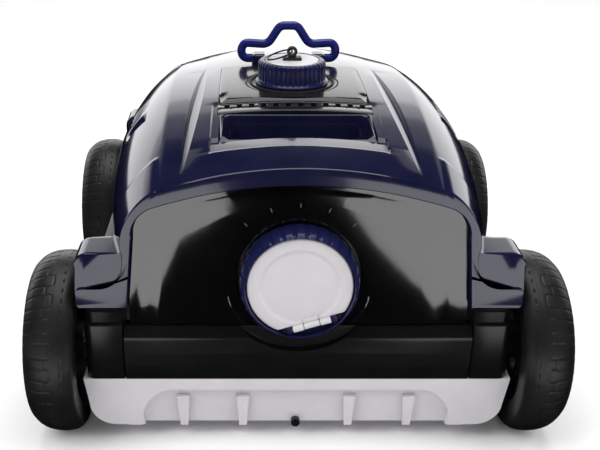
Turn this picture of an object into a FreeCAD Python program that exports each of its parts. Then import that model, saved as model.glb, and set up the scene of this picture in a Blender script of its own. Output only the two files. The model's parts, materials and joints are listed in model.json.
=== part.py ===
import FreeCAD, Part
import math
import os
from FreeCAD import Vector

# Four-wheel jet-driven pool cleaner. Millimetres, Z up, the floor at Z = 0.
# X runs from left to right wheel, -Y is the front end, the origin is the floor point
# under the middle of the body. Front and rear ends are the same, turned half round.

# ---- driving dimensions ------------------------------------------------------------
TRACK = 410.0              # outer face to outer face of the wheels
WHEELBASE = 280.0
WHEEL_RADIUS = 72.0
WHEEL_WIDTH = 38.0
WALL = 3.0                 # moulded plastic wall
RUNNING = 0.05             # radial clearance of a running fit
CLEAR = 0.5                # gap between covers that meet

HALF_LENGTH = 186.0        # body, centre to the rim of the end arch
SIDE_MID = 153.0           # half width of the shell at the middle
SIDE_DRAW = 24.0           # how much narrower each side is at the ends
CREST_MID = 247.0          # shell height on the centre line
CREST_DROP = 12.9          # how much lower the crest is at the ends
CROWN_MID = 7.0            # fall of the roof from the crest to the ridge, at the middle
CROWN_GROW = 8.9           # and how much more it falls at the ends
RIDGE_MID = 104.0          # distance of the ridge from the centre line
RIDGE_DRAW = 6.0
SHOULDER_MID = 165.0       # height where the side turns upright
SHOULDER_RISE = 7.0
SHOULDER_TILT = 25.0       # roof slope just outside the ridge, degrees
DECK_Z = 124.0             # joint between shell and chassis
TRAY_Z = 61.0              # joint between chassis and base tray

ARCH_SIDE = 127.0          # half width of the end opening at its foot
ARCH_TOP = 221.0
ARCH_CORNER = (108.0, 203.0)
ARCH_SHOULDER = (121.5, 180.0)

CHASSIS_HALF = (161.5, 179.0)
TRAY_HALF = (164.0, 182.0)
TRAY_BOTTOM = 15.0
TRAY_CORNER = 20.0         # rounding under the long edges of the tray
FOOT_BOTTOM = 13.0
RIM_DEPTH = 6.0            # thickness of the rim round each end window
VENT_SPAN = (-46.0, -30.0)
VENT_SPOT = (125.0, 218.0)

BAND_TOP = 106.0           # top of the bumper band, foot of the end window
BAND_SHOULDER = 99.0       # where the band face turns back to the window
BAND_FACE = 184.0
TOWER_INNER = 132.0        # inner edge of the corner towers

FENDER = (128.0, 165.0)    # inner and outer edge of a corner fender
FENDER_TOP = 168.0
FENDER_DEPTH = (152.0, 183.0)

JET_Z = 145.5              # height of both nozzles and of the motor
DUCT_BORE = 39.0
DUCT_WALL = 3.0
DUCT_SPAN = (91.0, 172.0)
FLANGE_RADIUS = 56.0       # flange of the duct, behind the window
WINDOW_HOLE = 50.0
WINDOW_FACE = 178.0
FINGER_RADIUS = 59.0       # hollow in the band that leaves room to grip the nozzle ring
RING_RADIUS = 43.9
RING_SPAN = (176.5, 196.0)
RING_BORE = 35.0
FLAP_RADIUS = 38.7
FLAP_THICK = 3.0
FLAP_FACE = 194.2
FLAP_CHORD = 28.5          # the flap is cut off straight below this distance
HINGE_DROP = 31.0          # flap hinge below the nozzle centre
HINGE_Y = 194.6
HINGE_TURN = 17.5          # how far the nozzle is turned in the rest pose, degrees
BARREL_RADIUS = 2.5
BARREL_HALF = 14.5
EAR_SPAN = (15.1, 19.1)
FLAP_PIN_RADIUS = 1.0
FLAP_PIN_HALF = 22.0

HATCH_HALF = 61.5
HATCH_SPAN = (-56.0, 58.0)
GRILLE_SPAN = (-79.0, -56.5)
LOUVRES = 12
GRIP_HALF = 57.0
GRIP_SPAN = (-126.0, -83.0)
GRIP_FLOOR = 212.0

PORT_Y = -6.0
PORT_RADIUS = 39.0
PORT_FACE = 247.5          # top face of the flange round the charging port
PORT_FOOT = 237.0          # underside of the flange, over the charging socket
SEAL_RADIUS = 35.4
SEAL_WIRE = 1.2
NECK_RADIUS = 23.0
NECK_BORE = 20.0
NECK_TOP = 259.5
CAP_RADIUS = 29.0
CAP_LIP = 31.0
CAP_BOTTOM = 248.0
CAP_TOP = 267.0
LUG_EYE_Z = 274.0
DISC_RADIUS = 22.5
LIP_Z = 263.0              # inner step of the collar that traps the disc
BUTTON_RADIUS = 4.0
BUTTON_SPOT = (0.0, 11.0)
BUTTON_FOOT = 236.0
SOCKET_FACE = 243.0

HANDLE_Y = 68.0
HANDLE_Z = 250.5
HANDLE_BAR = 4.0

AXLE_RADIUS = 6.0
BOSS_RADIUS = 10.5
BOSS_FACE = 166.0          # end of the wheel bosses, just inside the wheels
HUB_RADIUS = 54.0
HUB_RIM = 50.0
HUB_HOLES = 6

INTAKE_HALF = 60.0         # intake slots through the tray floor
INTAKE_SPAN = (48.0, 74.0)
INTAKE_PIN_Y = 80.0
INTAKE_PIN_Z = 22.5
INTAKE_PIN_RADIUS = 1.5
INTAKE_EAR = (62.0, 65.0)
TRAY_LEAN = 7.5            # the end faces of the tray lean inwards to the foot, degrees
SCOOP_DEEP = 5.0
SCOOP_HALF = 118.0
SCOOP_TOP = 50.0
SCOOP_SWEEP = 18.0
END_WALL = 14.0            # thickness of the tray's end walls
RIBS = (41.5, 88.0)
RIB_WIDE = 6.0
FOOT_X = 126.5
FOOT_WIDE = 11.0
RIB_DEPTH = (1.0, 8.0)     # the ribs, measured inwards from the end face of the tray
RIB_HEEL = 168.0           # where the ribs and feet end under the tray
NUB_RADIUS = 3.5
NUB_SPAN = (171.0, 176.2)
NUB_Z = 16.5

LATCH_HALF = 16.0
LATCH_PIN = (168.0, 48.0)  # distance from the centre line and height
LATCH_PIN_RADIUS = 1.5
LATCH_BARREL = 3.0
LATCH_PLATE = (166.0, 168.0)
LATCH_LEDGE = (67.0, 70.0) # height of the ledge on the chassis that the clip hooks over
LATCH_LEDGE_FACE = 164.0

FILTER_HALF = (157.5, 175.8)
FILTER_THICK = 4.0
MOTOR_RADIUS = 32.0
MOTOR_HALF = 84.0
CRADLE_Y = 50.0
SHAFT_RADIUS = 4.0
ROTOR = (18.0, 45.0)       # radius and half length of the motor's rotor
PROP_SPAN = (142.0, 160.0)
PROP_HUB = 9.0
PROP_RADIUS = 36.0
DROP_Y = 125.0             # the intake tube under each duct
DROP_RADIUS = 30.0
DROP_BORE = 27.0
BOARD_Z = 184.0
SCREW_RADIUS = 2.0
SCREW_YS = (-100.0, 0.0, 100.0)
POST_HEIGHT = 26.0

FAR = 300.0                # beyond every face of the cleaner

X_AXIS = Vector(1, 0, 0)
Y_AXIS = Vector(0, 1, 0)
Z_AXIS = Vector(0, 0, 1)
CENTRE = Vector(0, 0, 0)
ENDS = ("front", "rear")
SIDES = (("left", -1), ("right", 1))

os.makedirs("parts", exist_ok=True)


# ---- helpers -----------------------------------------------------------------------
def save(name, shape):
    shape.exportStep(os.path.join("parts", name + ".step"))


def block(x_span, y_span, z_span):
    size = (x_span[1] - x_span[0], y_span[1] - y_span[0], z_span[1] - z_span[0])
    return Part.makeBox(*size, Vector(x_span[0], y_span[0], z_span[0]))


def around(half):
    return (-half, half)


def rod(radius, start, end):
    run = Vector(*end) - Vector(*start)
    return Part.makeCylinder(radius, run.Length, Vector(*start), run)


def pipe(outer, inner, start, end):
    return rod(outer, start, end).cut(rod(inner, start, end))


def joined(shapes):
    return shapes[0].multiFuse(shapes[1:]).removeSplitter()


def mirrored(shape):
    return shape.mirror(CENTRE, X_AXIS)


def turned_round(shape):
    copy = shape.copy()
    copy.rotate(CENTRE, Z_AXIS, 180)
    return copy


def both_ends(shape):
    return [shape, turned_round(shape)]


def four_corners(shape):
    pair = [shape, mirrored(shape)]
    return pair + [turned_round(one) for one in pair]


def lathe(profile, along):
    """Turn (radius, position) points about the X, Y or Z axis through the origin."""
    points = [Vector(radius, 0, place) for radius, place in profile]
    face = Part.Face(Part.makePolygon(points + points[:1]))
    solid = face.revolve(CENTRE, Z_AXIS, 360)
    if along is X_AXIS:
        solid.rotate(CENTRE, Y_AXIS, 90)
    elif along is Y_AXIS:
        solid.rotate(CENTRE, X_AXIS, -90)
    return solid


def cut_all(shape, tools):
    for tool in tools:
        shape = shape.cut(tool)
    return shape


def outline(points):
    """Straight edges round a closed list of (x, z) points."""
    corners = [Vector(x, 0, z) for x, z in points]
    return [line(a, b) for a, b in zip(corners, corners[1:] + corners[:1])]


def x_prism(points, x_span):
    """Extrude a closed list of (y, z) points along X."""
    corners = [Vector(x_span[0], y, z) for y, z in points]
    face = Part.Face(Part.makePolygon(corners + corners[:1]))
    return face.extrude(Vector(x_span[1] - x_span[0], 0, 0))


def rounded(shape, radius, wanted):
    """Fillet the edges whose two ends both satisfy wanted."""
    edges = [edge for edge in shape.Edges
             if len(edge.Vertexes) == 2 and all(wanted(vertex) for vertex in edge.Vertexes)]
    return shape.makeFillet(radius, edges)


def near(value, target):
    return abs(value - target) < 0.01


def smooth(points):
    curve = Part.BSplineCurve()
    curve.interpolate(points)
    return curve.toShape()


def line(start, end):
    return Part.makeLine(start, end)


def y_prism(edges, y_start, y_end):
    """Extrude an outline drawn in the XZ plane along Y."""
    wire = Part.Wire(edges)
    wire.translate(Vector(0, y_start, 0))
    return Part.Face(wire).extrude(Vector(0, y_end - y_start, 0))


# ---- body surface ------------------------------------------------------------------
def side_at(y):
    return SIDE_MID - SIDE_DRAW * (y / HALF_LENGTH) ** 2


def section(y, inset):
    """Outline of the shell across the body at y, moved inwards by inset."""
    share = (y / HALF_LENGTH) ** 2
    crest = CREST_MID - CREST_DROP * share - inset
    crown = CROWN_MID + CROWN_GROW * share
    ridge = RIDGE_MID - RIDGE_DRAW * share
    side = side_at(y) - inset
    shoulder = SHOULDER_MID + SHOULDER_RISE * share
    tilt = math.radians(SHOULDER_TILT)
    wide = (side - ridge) / (1 - math.sin(tilt))
    tall = (crest - crown - shoulder) / math.cos(tilt)
    steps = 8
    right = []
    for step in range(steps + 1):
        angle = (math.pi / 2 - tilt) * step / steps
        x = side - wide + wide * math.cos(angle)
        right.append(Vector(x, y, shoulder + tall * math.sin(angle)))
    roof = []
    for step in range(steps + 1):
        x = ridge * (1 - 2 * step / steps)
        roof.append(Vector(x, y, crest - crown * (x / ridge) ** 2))
    left = [Vector(-point.x, y, point.z) for point in reversed(right)]
    foot_right = Vector(side, y, DECK_Z)
    foot_left = Vector(-side, y, DECK_Z)
    return Part.Wire([line(foot_left, foot_right), line(foot_right, right[0]), smooth(right),
                      smooth(roof), smooth(left), line(left[-1], foot_left)])


def dome(inset, half=HALF_LENGTH):
    shares = (-1, -0.7, -0.35, 0, 0.35, 0.7, 1)
    return Part.makeLoft([section(half * share, inset) for share in shares], True, False)


def arch(gap, y_start, y_end, foot=DECK_Z):
    """The end opening, made smaller all round by gap, as a prism along Y."""
    side = ARCH_SIDE - gap
    corner = Vector(ARCH_CORNER[0] - gap, 0, ARCH_CORNER[1] - gap)
    shoulder = Vector(ARCH_SHOULDER[0] - gap, 0, ARCH_SHOULDER[1] - gap)
    bend = Vector((corner.x + shoulder.x) / 2 + 3.2, 0, (corner.z + shoulder.z) / 2 + 2.6)
    top = Vector(0, 0, ARCH_TOP - gap)
    foot_right = Vector(side, 0, foot)
    mirror_of = [Vector(-p.x, 0, p.z) for p in (corner, bend, shoulder, foot_right)]
    edges = [line(foot_right, shoulder), Part.Arc(shoulder, bend, corner).toShape(),
             Part.Arc(corner, top, mirror_of[0]).toShape(),
             Part.Arc(mirror_of[0], mirror_of[1], mirror_of[2]).toShape(),
             line(mirror_of[2], mirror_of[3]), line(mirror_of[3], foot_right)]
    return y_prism(edges, y_start, y_end)


# ---- shell and covers --------------------------------------------------------------
def fender():
    """Right front fender cap: a hollow rounded block over the corner tower."""
    inner, outer = FENDER
    back, front = FENDER_DEPTH
    body = block((inner, outer), (-front, -back), (DECK_Z, FENDER_TOP))
    body = rounded(body, 10.0, lambda end: near(end.X, outer) and near(end.Z, FENDER_TOP))
    body = rounded(body, 5.0, lambda end: near(end.Y, -front) and near(end.X, outer))
    hollow = block((inner - 1, outer - 2 * WALL), (WALL - front, -back - WALL),
                   (DECK_Z - 1, FENDER_TOP - 2 * WALL))
    return body.cut(hollow)


def screw_spots():
    inset = 8.0
    return [(sign * (side_at(y) - inset), y) for sign in (-1, 1) for y in SCREW_YS]


def roof_cutter(x_half, y_span):
    return block(around(x_half), y_span, (DECK_Z + 60, FAR))


def vent(sign):
    """Air slot high on the shoulder of the shell."""
    slot = block(around(8.0), VENT_SPAN, around(20.0))
    slot.rotate(CENTRE, Y_AXIS, sign * 45)
    slot.translate(Vector(sign * VENT_SPOT[0], 0, VENT_SPOT[1]))
    return slot


def top_shell():
    inside = HALF_LENGTH - RIM_DEPTH
    hollow = dome(WALL).common(block(around(SIDE_MID), around(inside), (DECK_Z - 1, FAR)))
    shell = dome(0).cut(hollow)
    shell = joined([shell] + [one.cut(dome(0)) for one in four_corners(fender())])
    posts = [rod(6.0, (x, y, DECK_Z), (x, y, DECK_Z + POST_HEIGHT)).common(dome(1))
             for x, y in screw_spots()]
    shell = joined([shell] + posts)
    pilot = SCREW_RADIUS + RUNNING
    shell = cut_all(shell, [rod(pilot, (x, y, DECK_Z - 1), (x, y, DECK_Z + 18)) for x, y in screw_spots()])
    shell = cut_all(shell, both_ends(arch(0, -HALF_LENGTH - 1, -inside + 20, DECK_Z - 1)))
    hatch = (GRILLE_SPAN[0] - CLEAR, HATCH_SPAN[1] + CLEAR)
    grip = (GRIP_SPAN[0] - WALL, GRIP_SPAN[1] + WALL)
    shell = shell.cut(roof_cutter(HATCH_HALF + CLEAR, hatch))
    shell = shell.cut(roof_cutter(GRIP_HALF + WALL, grip))
    return cut_all(shell, [vent(-1), vent(1)])


def layer(outer, inner, x_half, y_span):
    """A piece of roof between two insets, x_half either side of the centre line."""
    return dome(outer).cut(dome(inner)).common(roof_cutter(x_half, y_span))


def hatch_frame():
    """Ledge under the shell that carries the hatch and the louvre grille."""
    edge = 8.0
    frame = layer(WALL, 2 * WALL, HATCH_HALF + edge, (GRIP_SPAN[1] + WALL + 1, HATCH_SPAN[1] + edge))
    vent_gap = (GRILLE_SPAN[0] + 4, GRILLE_SPAN[1] - 2)
    well = (HATCH_SPAN[0] + 6, HATCH_SPAN[1] - 6)
    return cut_all(frame, [roof_cutter(HATCH_HALF - edge, vent_gap), roof_cutter(HATCH_HALF - edge, well)])


def top_hatch():
    """Cover plate with a bevelled front edge and a round hole for the port."""
    raised = 1.5
    plate = layer(-raised, WALL, HATCH_HALF, HATCH_SPAN)
    bevel = Part.makeBox(2 * FAR, 20, 12, Vector(-FAR, -20, 0))
    bevel.rotate(CENTRE, X_AXIS, 30)
    bevel.translate(Vector(0, HATCH_SPAN[0] + 6, CREST_MID + 1))
    hole = rod(PORT_RADIUS + CLEAR, (0, PORT_Y, DECK_Z), (0, PORT_Y, FAR))
    return plate.cut(bevel).cut(hole)


def hatch_grille():
    grille = layer(0, WALL, HATCH_HALF, GRILLE_SPAN)
    margin = 4.0
    pitch = 2 * (HATCH_HALF - margin) / LOUVRES
    slots = []
    for number in range(LOUVRES):
        start = -HATCH_HALF + margin + pitch * number
        slots.append(block((start, start + pitch * 0.6), (GRILLE_SPAN[0] + 10, GRILLE_SPAN[1] - 4),
                           (DECK_Z + 60, FAR)))
    return cut_all(grille, slots)


def grip_recess():
    """Hand hold sunk into the roof, open upwards."""
    wall = WALL - 0.1
    outer = block(around(GRIP_HALF + wall), (GRIP_SPAN[0] - wall, GRIP_SPAN[1] + wall),
                  (GRIP_FLOOR - WALL, FAR))
    inner = block(around(GRIP_HALF), GRIP_SPAN, (GRIP_FLOOR, FAR))
    cup = outer.common(dome(0)).cut(inner)
    grille_edge = block(around(FAR), (GRILLE_SPAN[0] - CLEAR, 0), (DECK_Z, FAR))
    return cup.cut(grille_edge)


def end_window():
    """Glossy end cover inside the front arch, with a raised panel and the nozzle hole."""
    plate = arch(CLEAR, -WINDOW_FACE, WALL - WINDOW_FACE, BAND_TOP + CLEAR)
    right = [(104, 120), (104, 184), (92, 196), (0, 204)]
    left = [(-x, z) for x, z in reversed(right[:-1])]
    panel = y_prism(outline(right + left), -WINDOW_FACE - 1.5, 1 - WINDOW_FACE)
    hole = rod(WINDOW_HOLE, (0, -FAR, JET_Z), (0, 0, JET_Z))
    return joined([plate, panel]).cut(hole)


# ---- chassis and base --------------------------------------------------------------
def bumper_band():
    """Middle of the front face below the window: upright, then turned back at the top."""
    half_y = CHASSIS_HALF[1]
    profile = [(2 - BAND_FACE, TRAY_Z), (-BAND_FACE, TRAY_Z + 12), (-BAND_FACE, BAND_SHOULDER),
               (-WINDOW_FACE, BAND_TOP), (2 - half_y, BAND_TOP), (2 - half_y, TRAY_Z)]
    return x_prism(profile, around(TOWER_INNER - 1))


def latch_ledge():
    span = (CHASSIS_HALF[0] - WALL, LATCH_LEDGE_FACE)
    return block(span, around(LATCH_HALF - 2), LATCH_LEDGE)


def main_chassis():
    half_x, half_y = CHASSIS_HALF
    front = TRAY_HALF[1]
    body = block(around(half_x), around(half_y), (TRAY_Z, DECK_Z))
    tower = block((TOWER_INNER, half_x), (-front, -half_y + 1), (TRAY_Z, DECK_Z))
    ledge = latch_ledge()
    body = joined([body] + both_ends(bumper_band()) + four_corners(tower) + [ledge, mirrored(ledge)])
    body = rounded(body, 2.5, lambda end: near(abs(end.X), half_x) and near(abs(end.Y), front))
    room = block(around(half_x - WALL), around(half_y - WALL), (TRAY_Z - 1, DECK_Z - 4))
    window_gap = block(around(ARCH_SIDE), (-FAR, WALL - WINDOW_FACE), (BAND_TOP, FAR))
    well = block(around(MOTOR_RADIUS + 1), around(MOTOR_HALF + 1), (DECK_Z - 5, FAR))
    body = cut_all(body, [room, well] + both_ends(window_gap))
    duct_hole = rod(DUCT_BORE + DUCT_WALL + CLEAR, (0, 1 - DUCT_SPAN[0], JET_Z), (0, -FAR, JET_Z))
    drop_hole = rod(DROP_RADIUS + CLEAR, (0, -DROP_Y, 0), (0, -DROP_Y, FAR))
    flange_gap = rod(FLANGE_RADIUS + CLEAR, (0, CLEAR - DUCT_SPAN[1], JET_Z),
                     (0, WALL - half_y, JET_Z))
    ring_gap = rod(WINDOW_HOLE + 1, (0, 2 - WINDOW_FACE, JET_Z), (0, -FAR, JET_Z))
    finger_gap = rod(FINGER_RADIUS, (0, -WINDOW_FACE, JET_Z), (0, -FAR, JET_Z))
    for hole in (duct_hole, drop_hole, flange_gap, ring_gap, finger_gap):
        body = cut_all(body, both_ends(hole))
    axle_y = WHEELBASE / 2
    boss = rod(BOSS_RADIUS, (half_x - WALL, axle_y, WHEEL_RADIUS), (BOSS_FACE, axle_y, WHEEL_RADIUS))
    bore = rod(AXLE_RADIUS, (half_x - 10, axle_y, WHEEL_RADIUS), (BOSS_FACE + 1, axle_y, WHEEL_RADIUS))
    body = cut_all(joined([body] + four_corners(boss)), four_corners(bore))
    pilot = SCREW_RADIUS + RUNNING
    return cut_all(body, [rod(pilot, (x, y, DECK_Z - 5), (x, y, DECK_Z + 1)) for x, y in screw_spots()])


def tray_outline(inset, top):
    """Cross-section of the tray: sloping sides and a rounded corner under each."""
    slant = 3.0
    half = TRAY_HALF[0] - inset
    low = TRAY_BOTTOM + inset
    radius = TRAY_CORNER - inset
    side = half - slant
    turn = radius * (1 - math.sqrt(0.5))
    curve = [Vector(side, 0, low + radius), Vector(side - turn, 0, low + turn),
             Vector(side - radius, 0, low)]
    flip = [Vector(-point.x, 0, point.z) for point in reversed(curve)]
    top_right = Vector(half, 0, top)
    top_left = Vector(-half, 0, top)
    return [line(top_right, curve[0]), Part.Arc(*curve).toShape(), line(curve[2], flip[0]),
            Part.Arc(*flip).toShape(), line(flip[2], top_left), line(top_left, top_right)]


def lean(shape):
    """Tilt a shape drawn against an upright front face to the leaning one."""
    shape.rotate(Vector(0, -TRAY_HALF[1], TRAY_Z), X_AXIS, TRAY_LEAN)
    return shape


def scoop():
    """Arched pocket cut into the lower front face of the tray."""
    low = TRAY_BOTTOM - 3
    curve = [Vector(SCOOP_HALF, 0, low), Vector(SCOOP_HALF - 4, 0, SCOOP_TOP - 10),
             Vector(SCOOP_HALF - SCOOP_SWEEP, 0, SCOOP_TOP)]
    flip = [Vector(-point.x, 0, point.z) for point in reversed(curve)]
    edges = [Part.Arc(*curve).toShape(), line(curve[2], flip[0]),
             Part.Arc(*flip).toShape(), line(flip[2], curve[0])]
    return lean(y_prism(edges, -TRAY_HALF[1] - 1, SCOOP_DEEP - TRAY_HALF[1]))


def rib(x, wide):
    """Upright skid rib across the scoop, wider towards its top."""
    foot = wide / 2
    shape = [(x - foot, FOOT_BOTTOM), (x + foot, FOOT_BOTTOM),
             (x + wide * 0.8, SCOOP_TOP - 8), (x - wide * 0.8, SCOOP_TOP - 8)]
    outer, inner = RIB_DEPTH
    return lean(y_prism(outline(shape), outer - TRAY_HALF[1], inner - TRAY_HALF[1]))


def flap_ears():
    """Ears on the tray floor that hold the pin of the front intake flap."""
    ear = block(INTAKE_EAR, (-INTAKE_PIN_Y - 4, 4 - INTAKE_PIN_Y), (TRAY_BOTTOM + 1, INTAKE_PIN_Z + 4))
    return [ear, mirrored(ear)]


def intake_pin(radius, half):
    return rod(radius, (-half, -INTAKE_PIN_Y, INTAKE_PIN_Z), (half, -INTAKE_PIN_Y, INTAKE_PIN_Z))


def latch_ears():
    """Ears on the right side of the tray that hold the pin of its clip."""
    x, z = LATCH_PIN
    reach = (TRAY_HALF[0] - 2 * WALL, x + LATCH_BARREL)
    ears = []
    for side in (-1, 1):
        span = sorted((side * (LATCH_HALF + 0.4), side * (LATCH_HALF + 4)))
        ears.append(block(reach, span, (z - LATCH_BARREL, z + LATCH_BARREL)))
    return ears


def latch_rod(radius, half):
    x, z = LATCH_PIN
    return rod(radius, (x, -half, z), (x, half, z))


def base_tray():
    half_y = TRAY_HALF[1]
    body = y_prism(tray_outline(0, TRAY_Z), -half_y, half_y)
    face = lean(block(around(FAR), (-half_y - FAR, -half_y), (-FAR, TRAY_Z + 1)))
    body = cut_all(body, both_ends(face) + both_ends(scoop()))
    for piece in [rib(x, RIB_WIDE) for x in RIBS] + [rib(FOOT_X, FOOT_WIDE)]:
        body = joined([body] + four_corners(piece))
    body = body.cut(block(around(FAR), around(RIB_HEEL), (0, TRAY_BOTTOM))).removeSplitter()
    body = body.cut(y_prism(tray_outline(WALL, TRAY_Z + 1), END_WALL - half_y, half_y - END_WALL))
    slot = block(around(INTAKE_HALF), (-INTAKE_SPAN[1], -INTAKE_SPAN[0]), (0, TRAY_BOTTOM + WALL + 1))
    body = cut_all(body, both_ends(slot))
    ears = []
    for ear in flap_ears():
        ears += both_ends(ear)
    for ear in latch_ears():
        ears += [ear, mirrored(ear)]
    body = joined([body] + ears)
    inside = y_prism(tray_outline(WALL, TRAY_Z + 1), -LATCH_HALF - 6, LATCH_HALF + 6)
    body = body.cut(inside)
    body = cut_all(body, both_ends(intake_pin(INTAKE_PIN_RADIUS, INTAKE_EAR[1] + 1)))
    pin = latch_rod(LATCH_PIN_RADIUS, LATCH_HALF + 5)
    return cut_all(body, [pin, mirrored(pin)])


def intake_flap():
    """Front non-return flap lying over its intake slot, hinged at its outer edge."""
    half = INTAKE_EAR[0] - 1
    low = TRAY_BOTTOM + WALL + 0.8
    leaf = block(around(half), (-INTAKE_PIN_Y, 3 - INTAKE_SPAN[0]), (low, low + 2))
    barrel = intake_pin(INTAKE_PIN_Z - low, half)
    return joined([leaf, barrel]).cut(intake_pin(INTAKE_PIN_RADIUS + RUNNING, half + 1))


def side_latch():
    """Right clip: a lever hinged low on the tray, hooked over the ledge of the chassis."""
    hook_low = LATCH_LEDGE[1] + 0.3
    top = hook_low + 3
    half = LATCH_HALF
    plate = block(LATCH_PLATE, around(half), (LATCH_PIN[1], top))
    plate = plate.cut(block((0, FAR), around(half - 6), (LATCH_PIN[1] + 6, LATCH_LEDGE[0] - 3)))
    hook = block((LATCH_LEDGE_FACE - 1.8, LATCH_PLATE[0] + 1), around(half - 3), (hook_low, top))
    tab = block((LATCH_PLATE[0], LATCH_PLATE[1] + 2.5), around(half - 4), (top - 2, top))
    body = joined([plate, hook, tab, latch_rod(LATCH_BARREL, half)])
    return body.cut(latch_rod(LATCH_PIN_RADIUS + RUNNING, half + 1))


def filter_frame():
    """Grid across the mouth of the tray, lying on its end walls."""
    half_x, half_y = FILTER_HALF
    bar = 3.0
    frame = block(around(half_x), around(half_y), (TRAY_Z, TRAY_Z + FILTER_THICK))
    cell = block((bar, half_x - 12), (bar, half_y - 12), (TRAY_Z - 1, TRAY_Z + FILTER_THICK + 1))
    return cut_all(frame, four_corners(cell))


def filter_screen():
    base = TRAY_Z + FILTER_THICK
    return block(around(FILTER_HALF[0] - 4), around(FILTER_HALF[1] - 4), (base, base + 0.8))


def skid_nub():
    """Round nub on the front face of the tray, cut to sit against its slope."""
    inner, outer = NUB_SPAN
    return rod(NUB_RADIUS, (0, -outer, NUB_Z), (0, -inner, NUB_Z)).cut(base_tray())


# ---- pump --------------------------------------------------------------------------
def duct():
    """Front outlet duct: a level tube with the propeller, fed from a tube below."""
    outer = DUCT_BORE + DUCT_WALL
    back, front = DUCT_SPAN
    foot = DECK_Z - 26
    level = rod(outer, (0, -back, JET_Z), (0, -front, JET_Z))
    drop = rod(DROP_RADIUS, (0, -DROP_Y, foot), (0, -DROP_Y, JET_Z))
    flange = rod(FLANGE_RADIUS, (0, -front, JET_Z), (0, WALL - WINDOW_FACE, JET_Z))
    bore = rod(DUCT_BORE, (0, -back - DUCT_WALL, JET_Z), (0, -FAR, JET_Z))
    drop_bore = rod(DROP_BORE, (0, -DROP_Y, foot - 1), (0, -DROP_Y, JET_Z))
    shaft_hole = rod(SHAFT_RADIUS + 1, (0, 0, JET_Z), (0, -FAR, JET_Z))
    return cut_all(joined([level, drop, flange]), [bore, drop_bore, shaft_hole])


def propeller():
    """Four pitched blades on a hub fixed to the shaft, inside the front duct."""
    start, end = PROP_SPAN
    parts = [rod(PROP_HUB, (0, -start, JET_Z), (0, -end, JET_Z))]
    count = 4
    for number in range(count):
        blade = Part.makeBox(16, 2, PROP_RADIUS - PROP_HUB + 1, Vector(-8, -1, PROP_HUB - 1))
        blade.rotate(CENTRE, Z_AXIS, 35)
        blade = blade.common(rod(PROP_RADIUS, (0, -12, 0), (0, 12, 0)))
        blade.rotate(CENTRE, Y_AXIS, 360 / count * number)
        blade.translate(Vector(0, -(start + end) / 2, JET_Z))
        parts.append(blade)
    return joined(parts).cut(rod(SHAFT_RADIUS, (0, 0, JET_Z), (0, -FAR, JET_Z)))


def motor_can():
    can = rod(MOTOR_RADIUS, (0, -MOTOR_HALF, JET_Z), (0, MOTOR_HALF, JET_Z))
    room = MOTOR_HALF - WALL
    hollow = rod(MOTOR_RADIUS - WALL, (0, -room, JET_Z), (0, room, JET_Z))
    bore = rod(SHAFT_RADIUS + RUNNING, (0, -FAR, JET_Z), (0, FAR, JET_Z))
    return can.cut(hollow).cut(bore)


def motor_shaft():
    radius, half = ROTOR
    rotor = rod(radius, (0, -half, JET_Z), (0, half, JET_Z))
    return joined([rotor, rod(SHAFT_RADIUS, (0, -PROP_SPAN[1], JET_Z), (0, PROP_SPAN[1], JET_Z))])


def shaft_seals():
    seal = pipe(9.0, SHAFT_RADIUS + RUNNING, (0, -MOTOR_HALF, JET_Z), (0, -DUCT_SPAN[0], JET_Z))
    return Part.makeCompound(both_ends(seal))


def motor_cradle():
    """Saddles on the deck that carry the sealed motor, either side of its well."""
    half = MOTOR_RADIUS + 12
    saddles = []
    for y in (-CRADLE_Y, CRADLE_Y):
        saddle = block(around(half), (y - 8, y + 8), (DECK_Z, JET_Z - 4))
        saddles += saddle.cut(rod(MOTOR_RADIUS, (0, -FAR, JET_Z), (0, FAR, JET_Z))).Solids
    return Part.makeCompound(saddles)


def battery_packs():
    pack = block((58, 112), around(70), (DECK_Z, DECK_Z + 52))
    pack = pack.makeFillet(4.0, pack.Edges)
    return Part.makeCompound([pack, mirrored(pack)])


def control_board():
    """Circuit board on four posts over the motor."""
    thick = 1.6
    board = block(around(30), around(42), (BOARD_Z - thick, BOARD_Z))
    post = rod(3.0, (24, 36, JET_Z), (24, 36, BOARD_Z - thick))
    post = post.cut(rod(MOTOR_RADIUS, (0, -FAR, JET_Z), (0, FAR, JET_Z)))
    chips = [block((-20, -4), (-30, -14), (BOARD_Z - 1, BOARD_Z + 3)),
             block((6, 22), (-10, 12), (BOARD_Z - 1, BOARD_Z + 2))]
    return joined([board] + four_corners(post) + chips)


# ---- nozzles -----------------------------------------------------------------------
def nozzle_place(shape):
    """Carry a shape drawn about the origin, hinge side down, to the front nozzle."""
    shape.rotate(CENTRE, Y_AXIS, -HINGE_TURN)
    shape.translate(Vector(0, 0, JET_Z))
    return shape


def hinge_rod(radius, start, end):
    return rod(radius, (start, -HINGE_Y, -HINGE_DROP), (end, -HINGE_Y, -HINGE_DROP))


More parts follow.
